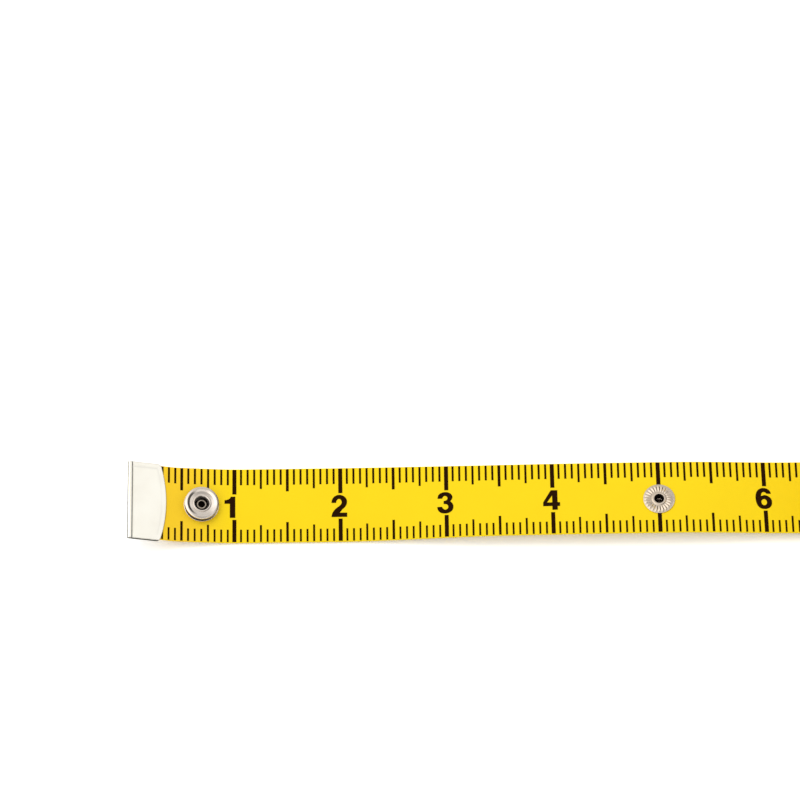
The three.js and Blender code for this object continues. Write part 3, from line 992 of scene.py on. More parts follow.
def closed(shape: bmesh.types.BMesh, name: str) -> bpy.types.Mesh:
    """Turns the faces of a closed shape outwards and makes a mesh of it.

    Args:
        shape: the shape, which is freed.
        name: the mesh's name.

    Returns:
        The mesh.
    """
    bmesh.ops.recalc_face_normals(shape, faces=shape.faces)
    mesh = bpy.data.meshes.new(name)
    shape.to_mesh(mesh)
    shape.free()
    return mesh


def turned(profile: list[tuple[float, float]], name: str, segments: int = 96) -> bpy.types.Mesh:
    """Turns a closed profile about Z into a ring or a solid that closes on its axis.

    Args:
        profile: radius and height of each point, in mm.
        name: the mesh's name.
        segments: steps round the axis.

    Returns:
        The mesh, in mm, with its faces outwards.
    """
    shape = bmesh.new()
    rings = []
    for radius, height in profile:
        if radius < TINY:
            rings.append([shape.verts.new((0.0, 0.0, height))] * segments)
            continue
        angles = [2 * math.pi * k / segments for k in range(segments)]
        rings.append([shape.verts.new((radius * math.cos(a), radius * math.sin(a), height))
                      for a in angles])
    for low, high in zip(rings, rings[1:] + rings[:1]):
        for k in range(segments):
            corners = (low[k], low[(k + 1) % segments], high[(k + 1) % segments], high[k])
            unique = list(dict.fromkeys(corners))
            if len(unique) > 2:
                shape.faces.new(unique)
    return closed(shape, name)


# Digits


@dataclass
class DigitShapes:
    """Ten bold plain digits, drawn in mm round their middles, as thin films of ink.

    An outline is a list of points. One that ends in a 1 is a corner, and the curve runs smoothly
    through the others.
    """

    name: str = "fine"
    film: float = 0.05
    curve_steps: int = 5
    slice_width: float = 0.5
    merge_angle: float = math.radians(0.5)
    weld: float = 1e-4
    half_width: float = 2.1

    def outlines(self) -> list[list[list[tuple[float, float, int]]]]:
        """Draws the ten digits.

        Returns:
            For each digit from 0 to 9, its outer outline and its holes, as X, Y and corner.
        """
        one = [(-0.6, 2.7, 1), (0.5, 2.7, 1), (0.5, -2.7, 1), (-0.82, -2.7, 1),
               (-0.82, 0.88, 1), (-2.1, 0.88, 1), (-2.1, 1.75, 1), (-1.3, 1.95, 0),
               (-0.82, 2.25, 0)]
        two = [(-1.88, 0.8, 1), (-1.68, 1.75, 0), (-1.0, 2.52, 0), (-0.05, 2.83, 0),
               (0.98, 2.54, 0), (1.63, 1.93, 0), (1.85, 0.96, 0), (1.5, -0.1, 0),
               (0.75, -0.88, 0), (0.1, -1.72, 1), (1.87, -1.72, 1), (1.87, -2.8, 1),
               (-1.9, -2.8, 1), (-1.68, -1.85, 0), (-1.0, -0.82, 0), (0.05, 0.05, 0),
               (0.54, 0.7, 0), (0.44, 1.45, 0), (-0.06, 1.8, 0), (-0.6, 1.42, 0),
               (-0.78, 0.8, 1)]
        three = [(-1.86, 1.1, 1), (-1.62, 2.05, 0), (-0.75, 2.68, 0), (0.0, 2.8, 0),
                 (0.75, 2.68, 0), (1.5, 2.1, 0), (1.73, 1.3, 0), (1.22, 0.36, 1),
                 (1.76, -0.3, 0), (1.94, -1.0, 0), (1.7, -1.95, 0), (1.05, -2.55, 0),
                 (0.0, -2.8, 0), (-1.15, -2.55, 0), (-1.78, -1.85, 0), (-1.94, -1.05, 1),
                 (-0.76, -1.05, 1), (-0.55, -1.5, 0), (0.0, -1.8, 0), (0.52, -1.55, 0),
                 (0.7, -1.0, 0), (0.5, -0.55, 0), (0.1, -0.36, 0), (-0.4, -0.34, 1),
                 (-0.4, 0.48, 1), (0.15, 0.6, 0), (0.48, 0.9, 0), (0.48, 1.4, 0),
                 (-0.05, 1.8, 0), (-0.52, 1.55, 0), (-0.74, 1.1, 1)]
        four = [(-0.15, 2.6, 1), (1.43, 2.6, 1), (1.43, -0.6, 1), (2.0, -0.6, 1),
                (2.0, -1.6, 1), (1.43, -1.6, 1), (1.43, -2.6, 1), (0.14, -2.6, 1),
                (0.14, -1.6, 1), (-2.04, -1.6, 1), (-2.04, -0.62, 1)]
        five = [(-1.4, 2.66, 1), (1.62, 2.66, 1), (1.62, 1.6, 1), (-0.5, 1.6, 1),
                (-0.62, 0.86, 1), (0.2, 1.05, 0), (1.3, 0.55, 0), (1.9, -0.7, 0),
                (1.45, -2.1, 0), (0.0, -2.78, 0), (-1.45, -2.2, 0), (-1.92, -1.1, 1),
                (-0.75, -1.05, 1), (-0.5, -1.55, 0), (0.05, -1.78, 0), (0.6, -1.4, 0),
                (0.72, -0.8, 0), (0.5, -0.2, 0), (0.0, 0.06, 0), (-0.62, -0.22, 1),
                (-1.8, -0.12, 1)]
        six = [(0.15, 2.78, 0), (1.2, 2.38, 0), (1.72, 1.62, 0), (1.78, 1.26, 1),
               (0.72, 1.26, 1), (0.42, 1.6, 0), (0.02, 1.72, 0), (-0.42, 1.45, 0),
               (-0.62, 0.62, 1), (0.2, 0.88, 0), (1.1, 0.6, 0), (1.76, -0.1, 0),
               (1.94, -1.0, 0), (1.7, -2.0, 0), (1.0, -2.62, 0), (0.05, -2.8, 0),
               (-1.0, -2.5, 0), (-1.7, -1.5, 0), (-1.96, -0.1, 0), (-1.86, 1.1, 0),
               (-1.5, 2.0, 0), (-0.75, 2.62, 0)]
        seven = [(-1.85, 2.66, 1), (1.88, 2.66, 1), (1.88, 1.75, 1), (0.85, 0.2, 0),
                 (0.25, -1.2, 0), (0.02, -2.66, 1), (-1.38, -2.66, 1), (-1.1, -1.2, 0),
                 (-0.4, 0.3, 0), (0.5, 1.55, 1), (-1.85, 1.55, 1)]
        right = [(0.0, 2.8, 0), (1.15, 2.5, 0), (1.7, 1.5, 0), (1.12, 0.28, 1),
                 (1.8, -0.4, 0), (1.94, -1.2, 0), (1.3, -2.45, 0)]
        # The eight's left side mirrors its right one, and the nine is a six turned half round
        left = [(-x, y, kind) for x, y, kind in right[:0:-1]]
        eight = [*right, (0.0, -2.8, 0), *left]
        zero = self.oval(0.0, 0.0, 1.9, 2.8)
        holes = {0: [self.oval(0.0, 0.0, 0.62, 1.72)],
                 4: [[(0.14, 1.2, 1), (0.14, -0.64, 1), (-1.1, -0.64, 1)]],
                 6: [self.oval(0.06, -0.98, 0.66, 0.82)],
                 8: [self.oval(0.0, 1.42, 0.55, 0.52), self.oval(0.0, -1.16, 0.7, 0.7)]}
        shapes = [zero, one, two, three, four, five, six, seven, eight]
        made = [[shape, *holes.get(i, [])] for i, shape in enumerate(shapes)]
        made.append([[(-x, -y, kind) for x, y, kind in loop] for loop in made[6]])
        return made

    def oval(self, x: float, y: float, wide: float, tall: float) -> list[tuple]:
        """Returns a full oval round a middle, from its half width and half height."""
        turns = [math.pi / 4 * k for k in range(8)]
        return [(x + wide * math.cos(a), y + tall * math.sin(a), 0) for a in turns]

    def make(self) -> bpy.types.Collection:
        """Builds the ten digit shapes.

        Returns:
            A collection of ten meshes whose names sort in the order of the digits.
        """
        shelf = bpy.data.collections.new(f"{self.name}_digits")
        for digit, loops in enumerate(self.outlines()):
            name = f"{self.name}_digit_{digit}"
            outline = bpy.data.curves.new(name, "CURVE")
            outline.dimensions = "2D"
            outline.fill_mode = "BOTH"
            outline.resolution_u = self.curve_steps
            outline.extrude = self.film / 2
            for loop in loops:
                spline = outline.splines.new("BEZIER")
                spline.bezier_points.add(len(loop) - 1)
                for point, (x, y, corner) in zip(spline.bezier_points, loop):
                    point.co = (x, y, 0.0)
                    kind = "VECTOR" if corner else "AUTO"
                    point.handle_left_type = point.handle_right_type = kind
                spline.use_cyclic_u = True
            holder = bpy.data.objects.new(name, outline)
            bpy.context.scene.collection.objects.link(holder)
            graph = bpy.context.evaluated_depsgraph_get()
            mesh = bpy.data.meshes.new_from_object(holder.evaluated_get(graph))
            bpy.data.objects.remove(holder)
            shelf.objects.link(bpy.data.objects.new(name, self.sliced(mesh)))
        return shelf

    def sliced(self, mesh: bpy.types.Mesh) -> bpy.types.Mesh:
        """Cuts a digit into narrow slices, so that it can bend with the ribbon.

        Args:
            mesh: the digit.

        Returns:
            The same mesh, sliced.
        """
        shape = bmesh.new()
        shape.from_mesh(mesh)
        bmesh.ops.remove_doubles(shape, verts=shape.verts, dist=self.weld)
        bmesh.ops.dissolve_limit(shape, angle_limit=self.merge_angle, verts=shape.verts,
                                 edges=shape.edges)
        last = math.floor(self.half_width / self.slice_width)
        for k in range(-last, last + 1):
            every = [*shape.verts, *shape.edges, *shape.faces]
            bmesh.ops.bisect_plane(shape, geom=every, dist=self.weld, plane_no=(1, 0, 0),
                                   plane_co=(k * self.slice_width, 0, 0))
        bmesh.ops.recalc_face_normals(shape, faces=shape.faces)
        shape.to_mesh(mesh)
        shape.free()
        return mesh


# The ribbon and its print


@dataclass(frozen=True)
class Stretch:
    """A piece of the ribbon that crosses one bend line, from one cut to the next, in mm."""

    number: int
    start: float
    end: float
    node: str
    bodies: tuple[str, ...]
    bend: tuple[float, float] | None

    @property
    def name(self) -> str:
        """The ribbon piece's name."""
        return f"cloth_{self.number}"


@dataclass(frozen=True)
class MarkSizes:
    """Width and length of each class of mark in a row, in mm, from the longest to the shortest."""

    unit: tuple[float, float]
    half: tuple[float, float]
    quarter: tuple[float, float]
    short: tuple[float, float]

    def inputs(self) -> dict[str, tuple[float, float, float]]:
        """Returns the sizes in metres, by the names of the inputs that take them."""
        return {f"{level.capitalize()} Size": (wide * MM, tall * MM, 0.0)
                for level, (wide, tall) in vars(self).items()}


@dataclass(frozen=True)
class Scale:
    """One face's scale, in mm: a number at each unit, and a row of marks at each edge.

    The unit is less than nothing where the scale counts backwards. The counts say how many marks
    there are to a unit, and how often a half and a quarter mark comes. A digit's size is 1 for
    those of the inch numbers, and the offset is how far along and across the numbers stand.
    """

    name: str
    side: Side
    unit: float
    counts: tuple[int, int, int]
    marks: dict[Edge, MarkSizes]
    first_mark: int
    first_number: int
    digit: float
    advance: float
    offset: tuple[float, float] = (0.0, 0.0)


@dataclass
class Ribbon:
    """The coated cloth strip, cut in the middle of its stiff stretches, with its two scales."""

    path: TapePath
    edge_radius: float = 0.12
    hole_radius: float = 1.05
    hole_facets: int = 48
    punch_length: float = 2.0
    ink_margin: float = 0.15
    number_margin: float = 12.0
    film: float = 0.05
    film_proud: float = 0.03
    scales: tuple[Scale, ...] = (
        Scale("inch", Side.FACE, 25.4, (16, 8, 4), {
            Edge.FAR: MarkSizes((0.98, 6.3), (0.68, 5.65), (0.51, 4.95), (0.5, 3.95)),
            Edge.NEAR: MarkSizes((0.97, 5.65), (0.6, 4.95), (0.48, 4.25), (0.46, 3.15))},
            first_mark=5, first_number=1, digit=1.0, advance=4.3, offset=(-0.28, -0.35)),
        Scale("centimetre", Side.BACK, -10.0, (10, 5, 5), {
            edge: MarkSizes((0.5, 6.0), (0.4, 5.0), (0.4, 5.0), (0.3, 3.6)) for edge in Edge},
            first_mark=10, first_number=2, digit=0.64, advance=2.6),
    )
    stretches: tuple[Stretch, ...] = (
        Stretch(1, -0.4, 40.5, "ribbon_lead", ("lead", "stretch_1"), (22.0, 36.0)),
        Stretch(2, 40.5, 70.5, "ribbon_stretch_1", ("stretch_1", "stretch_2"), (49.0, 65.0)),
        Stretch(3, 70.5, 100.5, "ribbon_stretch_2", ("stretch_2", "stretch_3"), (77.0, 93.0)),
        Stretch(4, 100.5, 123.0, "ribbon_stretch_3", ("stretch_3", "stretch_4"), (105.0, 121.0)),
        Stretch(5, 123.0, 153.5, "ribbon_stretch_4", ("stretch_4", "stretch_5"), (133.0, 149.0)),
        Stretch(6, 153.5, 183.5, "ribbon_stretch_5", ("stretch_5", "root"), (161.0, 177.0)),
        Stretch(7, 183.5, 1523.65, "ribbon_roll", ("root",), None),
    )

    def __post_init__(self) -> None:
        """Makes the trees, the digit shapes and the finishes."""
        self.zeros = {Side.FACE: 0.0, Side.BACK: self.path.length - self.path.zero_inset}
        self.base = self.path.mesh()
        lay = lay_tree()
        self.cloth = cloth_tree(lay)
        self.marks = marks_tree(lay)
        self.numbers = numbers_tree(lay)
        self.digits = DigitShapes(film=self.film).make()
        self.plain_digits = DigitShapes("plain", self.film, curve_steps=2, slice_width=0.9,
                                        merge_angle=math.radians(16)).make()
        self.vinyl = CoatedCloth().make()
        self.ink = ScreenInk().make()

    def make(self) -> None:
        """Builds and dresses each stretch of cloth and its print."""
        for stretch in self.stretches:
            cloth = self.cloth_piece(stretch)
            prints = [self.scale_print(stretch, scale) for scale in self.scales]
            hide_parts(stretch.node)
            for piece in (cloth, *prints):
                self.join(piece, stretch)

    def join(self, piece: bpy.types.Object, stretch: Stretch) -> None:
        """Makes a piece ride on the stretch's body; a piece of a stretch that crosses a bend line
        only has its place baked into its mesh and rides on no body.

        Args:
            piece: the cloth or a piece of its print.
            stretch: the stretch that it belongs to.
        """
        if stretch.bend is None:
            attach(piece, stretch.bodies[0])
            return
        start, end = (self.path.station(place)[0] * MM for place in stretch.bend)
        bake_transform(piece)

    def cloth_piece(self, stretch: Stretch) -> bpy.types.Object:
        """Builds one stretch of cloth, punched where the press stud goes through it.

        Args:
            stretch: the stretch.

        Returns:
            The piece.
        """
        rings = round((stretch.end - stretch.start) / self.path.step) + 1
        mesh = grow(self.cloth, self.base, {
            "Start": stretch.start * MM, "End": stretch.end * MM, "Rings": rings,
            "Width": self.path.width * MM, "Thickness": self.path.thickness * MM,
            "Edge Radius": self.edge_radius * MM, "Origin": self.path.origin * MM,
            "Step": self.path.step * MM, "Material": self.vinyl}, stretch.name)
        for place, aside in ((self.path.socket_place, 0.0),
                             (self.path.stud_place, self.path.stud_aside)):
            if stretch.start < place < stretch.end:
                mesh = self.punched(mesh, self.path.frame_at(place, aside))
        return piece_of(shade(mesh), stretch.name)

    def punched(self, mesh: bpy.types.Mesh, place: Matrix) -> bpy.types.Mesh:
        """Punches the hole for an eyelet's barrel.

        Args:
            mesh: the cloth.
            place: where the eyelet goes, from mm to metres.

        Returns:
            The punched mesh.
        """
        shape = bmesh.new()
        bmesh.ops.create_cone(shape, cap_ends=True, segments=self.hole_facets,
                              radius1=self.hole_radius, radius2=self.hole_radius,
                              depth=self.punch_length)
        punch = closed(shape, "punch")
        punch.transform(place)
        punch.materials.append(self.vinyl)
        holder, tool = piece_of(mesh, "punched"), piece_of(punch, "punch")
        cut = holder.modifiers.new("cut", "BOOLEAN")
        cut.operation = "DIFFERENCE"
        cut.object = tool
        cut.solver = "EXACT"
        graph = bpy.context.evaluated_depsgraph_get()
        made = bpy.data.meshes.new_from_object(holder.evaluated_get(graph))
        made.name = mesh.name
        bpy.data.objects.remove(holder)
        bpy.data.objects.remove(tool)
        return made

    def scale_print(self, stretch: Stretch, scale: Scale) -> bpy.types.Object:
        """Prints a scale's marks and numbers on one stretch.

        Args:
            stretch: the stretch.
            scale: the scale.

        Returns:
            The piece of print.
        """
        name = f"{scale.name}_print_{stretch.number}"
        rows = [self.mark_row(stretch, scale, edge) for edge in Edge]
        shape = bmesh.new()
        for mesh in (*rows, self.number_row(stretch, scale)):
            shape.from_mesh(mesh)
        print_mesh = bpy.data.meshes.new(name)
        shape.to_mesh(print_mesh)
        shape.free()
        print_mesh.materials.append(self.ink)
        return piece_of(print_mesh, name)

    def count_on(self, stretch: Stretch, side: Side, pitch: float, least: int,
                 margin: float) -> tuple[int, int]:
        """Works out which of the places of a scale lie on one stretch.

        Args:
            stretch: the stretch.
            side: the face that the scale is on.
            pitch: distance from place to place, less than nothing where they count backwards.
            least: the lowest place that is printed.
            margin: how far from the ribbon's end the highest stays.

        Returns:
            The lowest place on the stretch, and how many there are.
        """
        low, high = sorted((place - self.zeros[side]) / pitch
                           for place in (stretch.start, stretch.end))
        most = math.floor((self.path.length - margin) / abs(pitch) + TINY)
        first = max(math.ceil(low - TINY), least)
        last = min(math.ceil(high - TINY) - 1, most)
        return first, max(last - first + 1, 0)

    def ink_height(self, side: Side) -> float:
        """Returns the height of the ink's middle over the ribbon's, in metres."""
        return side.value * (self.path.thickness / 2 + self.film_proud - self.film / 2) * MM

    def mark_row(self, stretch: Stretch, scale: Scale, edge: Edge) -> bpy.types.Mesh:
        """Prints one row of marks on one stretch.

        Args:
            stretch: the stretch.
            scale: the scale that the row belongs to.
            edge: the edge that it starts from.

        Returns:
            The row's mesh.
        """
        pitch = scale.unit / scale.counts[0]
        first, count = self.count_on(stretch, scale.side, pitch, scale.first_mark,
                                     self.path.cap_length)
        values = {
            "First": first, "Count": count, "Zero": self.zeros[scale.side] * MM,
            "Pitch": pitch * MM, "Height": self.ink_height(scale.side), "Film": self.film * MM,
            "Edge": edge.value * (self.path.width / 2 - self.ink_margin) * MM,
            "Way In": float(-edge.value), "Origin": self.path.origin * MM,
            "Step": self.path.step * MM, "Material": self.ink, **scale.marks[edge].inputs()}
        for level, every in zip(("Unit", "Half", "Quarter"), scale.counts):
            values[f"{level} Every"] = every
        return grow(self.marks, self.base, values, "mark_row")

    def number_row(self, stretch: Stretch, scale: Scale) -> bpy.types.Mesh:
        """Prints the numbers on one stretch, all but the one under the press stud.

        Args:
            stretch: the stretch.
            scale: the scale that the numbers belong to.

        Returns:
            The row's mesh.
        """
        first, count = self.count_on(stretch, scale.side, scale.unit, scale.first_number,
                                     self.number_margin)
        zero = self.zeros[scale.side]
        along, across = scale.offset
        face = scale.side is Side.FACE
        return grow(self.numbers, self.base, {
            "Digits": self.digits if face and stretch.bend else self.plain_digits,
            "First": first, "Count": count, "Zero": (zero + along) * MM,
            "Left Out": round((self.path.stud_place - zero) / scale.unit),
            "Pitch": scale.unit * MM, "Across": across * MM,
            "Height": self.ink_height(scale.side), "Digit": scale.digit * MM,
            "Advance": scale.advance * MM, "Turn": (0.0, 0.0 if face else math.pi, 0.0),
            "Origin": self.path.origin * MM, "Step": self.path.step * MM,
            "Material": self.ink}, "number_row")


# The metal pieces


@dataclass
class EndCap:
    """A folded sheet of tin plate with a bead at its fold and a raised panel on each side."""

    length: float = 9.5
    half_width: float = 9.7
    half_height: float = 0.6
    slot_half: float = 0.3
    slot_start: float = 0.3
    edge_radius: float = 32.0
    corner_radius: float = 1.0
    bead_length: float = 0.8
    bead_round_share: float = 0.6
    groove_length: float = 0.34
    groove_depth: float = 0.16
    panel_start: float = 1.14
    panel_height: float = 0.035
    panel_bevel: float = 0.8
    panel_ramp: float = 0.2
    panel_side_inset: float = 0.9
    panel_edge_inset: float = 0.85
    rim_radius: float = 0.16
    # Painted shade in the groove behind the bead, and in full in the side slot
    groove_grime: float = 0.9
    slot_edge: float = 0.01
    sharp_over: float = 40.0
    middle_steps: int = 16

    def edge_at(self, across: float) -> float:
        """Works out how far the cap's curved edge reaches along the ribbon.

        Args:
            across: distance across from the middle line.

        Returns:
            The distance from the fold to the edge.
        """
        centre = self.length - self.edge_radius
        side = self.half_width - self.corner_radius
        along = centre + math.sqrt((self.edge_radius - self.corner_radius) ** 2 - side ** 2)
        meet = math.atan2(side, along - centre)
        turn = side + self.corner_radius * math.sin(meet)
        if abs(across) <= turn:
            return centre + math.sqrt(self.edge_radius ** 2 - across ** 2)
        past = min(abs(across) - side, self.corner_radius)
        return along + math.sqrt(self.corner_radius ** 2 - past ** 2)

    def height_at(self, along: float, across: float) -> float:
        """Works out the height of the cap's skin over its middle plane.

        Args:
            along: distance from the fold.
            across: distance across from the middle line.

        Returns:
            The height, in mm.
        """
        edge = self.edge_at(across) - along
        side = self.half_width - abs(across)
        height = self.half_height
        if along < self.bead_length:
            share = 1 - along / (self.bead_length * self.bead_round_share)
            height *= math.sqrt(max(1 - max(share, 0.0) ** 2, 0.0))
        height -= self.groove_depth * self.groove_at(along)
        inset = min(side - self.panel_side_inset, edge - self.panel_edge_inset)
        inside = ease_between(inset, 0.0, self.panel_bevel)
        height += self.panel_height * inside * ease_between(
            along, self.panel_start, self.panel_start + self.panel_ramp)
        rim = min(edge, side)
        if rim < self.rim_radius:
            height -= self.rim_radius - math.sqrt(
                self.rim_radius ** 2 - (self.rim_radius - rim) ** 2)
        return height

    def groove_at(self, along: float) -> float:
        """Returns how deep a place lies in the groove behind the bead, from 0 to 1."""
        share = (along - self.bead_length) / self.groove_length
        return math.sin(math.pi * share) if 0 < share < 1 else 0.0

    def grime_at(self, spot: Vector) -> float:
        """Works out the painted shade in the groove, and in the slot that opens at the cap's
        sides.

        Args:
            spot: a point on the cap.

        Returns:
            The painted shade, from 0 to 1.
        """
        if abs(spot.z) < self.slot_half + self.slot_edge:
            return 1.0
        return self.groove_grime * self.groove_at(spot.x)

    def mesh(self, name: str) -> bpy.types.Mesh:
        """Lofts the folded sheet from its section at each distance across.

        Args:
            name: the mesh's name.

        Returns:
            The mesh, in mm, with X from the fold to the curved edge.
        """
        side = self.half_width
        # The sections and their points lie close together wherever the skin bends
        near = [side - d for d in (0.0, 0.01, 0.03, 0.06, 0.1, 0.16, 0.3, 0.6, 0.89, 0.95,
                                   1.05, 1.15, 1.25, 1.35, 1.45, 1.55, 1.65, 1.7, 2.0)]
        inner = list(np.linspace(0, side - 2.4, self.middle_steps))
        half = inner + near[::-1]
        across = [-y for y in half[:0:-1]] + half
        starts = [0.0, 0.01, 0.04, 0.09, 0.15, 0.22, 0.3, 0.4, 0.5, 0.65, 0.8, 0.84, 0.88,
                  0.92, 0.97, 1.02, 1.06, 1.1, 1.14, 1.18, 1.22, 1.26, 1.3, 1.34, 1.6, 2.0]
        ends = [2.4, 1.9, 1.7, 1.6, 1.5, 1.4, 1.3, 1.2, 1.1, 1.0, 0.9, 0.84, 0.6, 0.3, 0.16,
                0.1, 0.06, 0.03, 0.01, 0.0]
        shape = bmesh.new()
        rings = []
        for y in across:
            edge = self.edge_at(y)
            places = starts + [edge - d for d in ends]
            front = [(x, self.height_at(x, y)) for x in places]
            slot = [(edge, self.slot_half), (self.slot_start, self.slot_half)]
            upper = front[1:] + slot
            section = [front[0]] + upper + [(x, -z) for x, z in reversed(upper)]
            rings.append([shape.verts.new((x, y, z)) for x, z in section])
        count = len(rings[0])
        for low, high in zip(rings, rings[1:]):
            for k in range(count):
                shape.faces.new((low[k], low[(k + 1) % count], high[(k + 1) % count], high[k]))
        shape.faces.new(rings[0])
        shape.faces.new(rings[-1])
        return closed(shape, name)

    def make(self, name: str, node: str, body: str, place: Matrix) -> bpy.types.Object:
        """Builds a cap, puts it on the ribbon and dresses it.

        Args:
            name: the piece's name.
            node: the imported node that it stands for.
            body: the body that it rides on.
            place: where it goes, from mm to metres.

        Returns:
            The piece.
        """
        # The groove and the side slot are painted in shade
        mesh = paint_shade(self.mesh(name), self.grime_at)
        mesh.transform(place)
        mesh.materials.append(bpy.data.materials.get(TIN_PLATE.name) or TIN_PLATE.make())
        piece = piece_of(shade(mesh, self.sharp_over), name)
        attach(piece, body)
        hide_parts(node)
        log.info("%s on %s", name, body)
        return piece


@dataclass
class PressStud:
    """The two halves of the press stud, in the frame of the ribbon where each is set.

    A value of shade says how much painted shade lies in a place, and its reach or edge how far it
    goes there.
    """

    half_thickness: float = 0.25
    seat_gap: float = 0.05
    barrel_bore: float = 0.75
    barrel_wall: float = 0.25
    clench_radius: float = 1.17
    mouth_radius: float = 1.22
    collar_radius: float = 1.75
    collar_height: float = 0.17
    collar_taper: float = 0.1
    flare_depth: float = 0.3
    flare_width: float = 0.17
    flange_radius: float = 3.8
    flange_sheet: float = 0.18
    flute_start: float = 1.9
    flute_end: float = 3.42
    flute_height: float = 0.2
    flute_fullness: float = 0.6
    flute_count: int = 24
    flute_edge: float = 0.02
    flute_facets: int = 8
    flute_rings: int = 12
    socket_radius: float = 4.1
    shell_facets: int = 128
    socket_ledge: float = 0.15
    base_sheet: float = 0.22
    wall: float = 0.3
    spring_room: float = 0.9
    crown: float = 0.58
    rim_radius: float = 0.32
    rim_depth: float = 0.62
    rim_fall: float = 0.2
    rim_chamfer: float = 0.1
    rim_neck: float = 0.15
    undercut: float = 0.5
    crown_inner: float = 3.55
    dish_bend: float = 2.95
    dish_bend_share: float = 0.75
    dish_radius: float = 2.35
    dish_depth: float = 0.44
    throat_radius: float = 1.72
    lip_radius: float = 1.92
    lip_foot: float = 2.2
    lip_drop: float = 0.22
    lip_slope: float = 0.08
    lip_bevel: float = 0.06
    lip_step: float = 0.04
    corner_steps: int = 6
    wire: float = 0.36
    grip: float = 0.06
    wire_gap: float = math.radians(50)
    ring_steps: int = 72
    wire_facets: int = 14
    stud_base_radius: float = 3.5
    stud_sheet: float = 0.28
    stud_height: float = 2.05
    stud_hollow: float = 1.22
    stud_neck: float = 1.5
    stud_head: float = 1.68
    head_drop: float = 0.2
    head_bevel: float = 0.3
    # Painted shade: full in the bores, the throat, under the rim and under the shell, less on the
    # clenched ends, the dish's crease and the spring
    caked: float = 1.2
    clench_grime: float = 0.4
    clench_edge: float = 0.01
    dish_grime: float = 0.45
    spring_grime: float = 0.35
    grime_edge: float = 0.02
    bore_grime_reach: float = 0.1
    mouth_grime_inset: float = 0.015
    rim_grime_reach: float = 0.04
    dish_grime_rise: float = 0.1
    foot_grime_reach: float = 0.07
    sharp_over: float = 50.0
    # Depth of a dark disc that closes the socket's bore as painted shade
    dirt_depth: float = 0.2

    def __post_init__(self) -> None:
        """Makes the finishes and the trees."""
        self.nickel = NICKEL_PLATE.make()
        self.worn = WORN_NICKEL.make()
        self.steel = SPRING_STEEL.make()
        self.flutes = self.flutes_tree()
        self.ring = self.ring_tree()

    def flutes_tree(self) -> bpy.types.NodeTree:
        """Builds the tree that presses flutes into a flange.

        Returns:
            The tree, which lowers each point by a ridge round the axis, inside a ring.
        """
        tree = new_tree("pressed_flutes", Int=["Count"], Material=["Material"],
                        Float=["Height", "Fullness", "Inner", "Outer", "Top"])
        given = tree.nodes["in"].outputs
        spot = add_node(tree, "GeometryNodeInputPosition")
        parts = add_node(tree, "ShaderNodeSeparateXYZ", {0: spot.outputs[0]})
        angle = add_node(tree, "ShaderNodeMath", {
            0: parts.outputs["Y"], 1: parts.outputs["X"]}, operation="ARCTAN2")
        wave = add_node(tree, "ShaderNodeMath", {0: angle.outputs[0], 1: given["Count"]},
                        operation="MULTIPLY")
        wave = add_node(tree, "ShaderNodeMath", {0: wave.outputs[0]}, operation="COSINE")
        ridge = add_node(tree, "ShaderNodeMapRange", {
            "Value": wave.outputs[0], "From Min": -1.0, "From Max": 1.0})
        flat = add_node(tree, "ShaderNodeCombineXYZ", {
            "X": parts.outputs["X"], "Y": parts.outputs["Y"]})
        radius = add_node(tree, "ShaderNodeVectorMath", {0: flat.outputs[0]},
                          operation="LENGTH")
        inside = add_node(tree, "ShaderNodeMapRange", {
            "Value": radius.outputs["Value"], "From Min": given["Inner"],
            "From Max": given["Outer"]}, clamp=True)
        swell = add_node(tree, "ShaderNodeMath", {0: inside.outputs[0], 1: math.pi},
                         operation="MULTIPLY")
        swell = add_node(tree, "ShaderNodeMath", {0: swell.outputs[0]}, operation="SINE")
        swell = add_node(tree, "ShaderNodeMath", {
            0: swell.outputs[0], 1: given["Fullness"]}, operation="POWER")
        amount = add_node(tree, "ShaderNodeMath", {
            0: ridge.outputs[0], 1: swell.outputs[0]}, operation="MULTIPLY")
        amount = add_node(tree, "ShaderNodeMath", {0: amount.outputs[0], 1: given["Height"]},
                          operation="MULTIPLY")
        under = add_node(tree, "FunctionNodeCompare", {
            0: parts.outputs["Z"], 1: given["Top"]}, operation="LESS_THAN")
        down = add_node(tree, "ShaderNodeMath", {0: amount.outputs[0], 1: -1.0},
                        operation="MULTIPLY")
        move = add_node(tree, "ShaderNodeCombineXYZ", {"Z": down.outputs[0]})
        pressed = add_node(tree, "GeometryNodeSetPosition", {
            "Geometry": given["Geometry"], "Selection": under.outputs[0],
            "Offset": move.outputs[0]})
        real = add_node(tree, "GeometryNodeRealizeInstances", {
            "Geometry": pressed.outputs[0]})
        return end_tree(tree, real.outputs[0])

    def ring_tree(self) -> bpy.types.NodeTree:
        """Builds the tree that bends a wire into an open ring.

        Returns:
            The tree.
        """
        tree = new_tree("open_wire_ring", Int=["Steps", "Wire Facets"], Material=["Material"],
                        Float=["Radius", "Wire Radius", "Sweep", "Height"])
        given = tree.nodes["in"].outputs
        arc = add_node(tree, "GeometryNodeCurveArc", {
            "Resolution": given["Steps"], "Radius": given["Radius"], "Start Angle": 0.0,
            "Sweep Angle": given["Sweep"]})
        section = add_node(tree, "GeometryNodeCurvePrimitiveCircle", {
            "Resolution": given["Wire Facets"], "Radius": given["Wire Radius"]})
        wire = add_node(tree, "GeometryNodeCurveToMesh", {
            "Curve": arc.outputs[0], "Profile Curve": section.outputs[0], "Fill Caps": True})
        up = add_node(tree, "ShaderNodeCombineXYZ", {"Z": given["Height"]})
        raised = add_node(tree, "GeometryNodeSetPosition", {
            "Geometry": wire.outputs[0], "Offset": up.outputs[0]})
        real = add_node(tree, "GeometryNodeRealizeInstances", {"Geometry": raised.outputs[0]})
        return end_tree(tree, real.outputs[0])

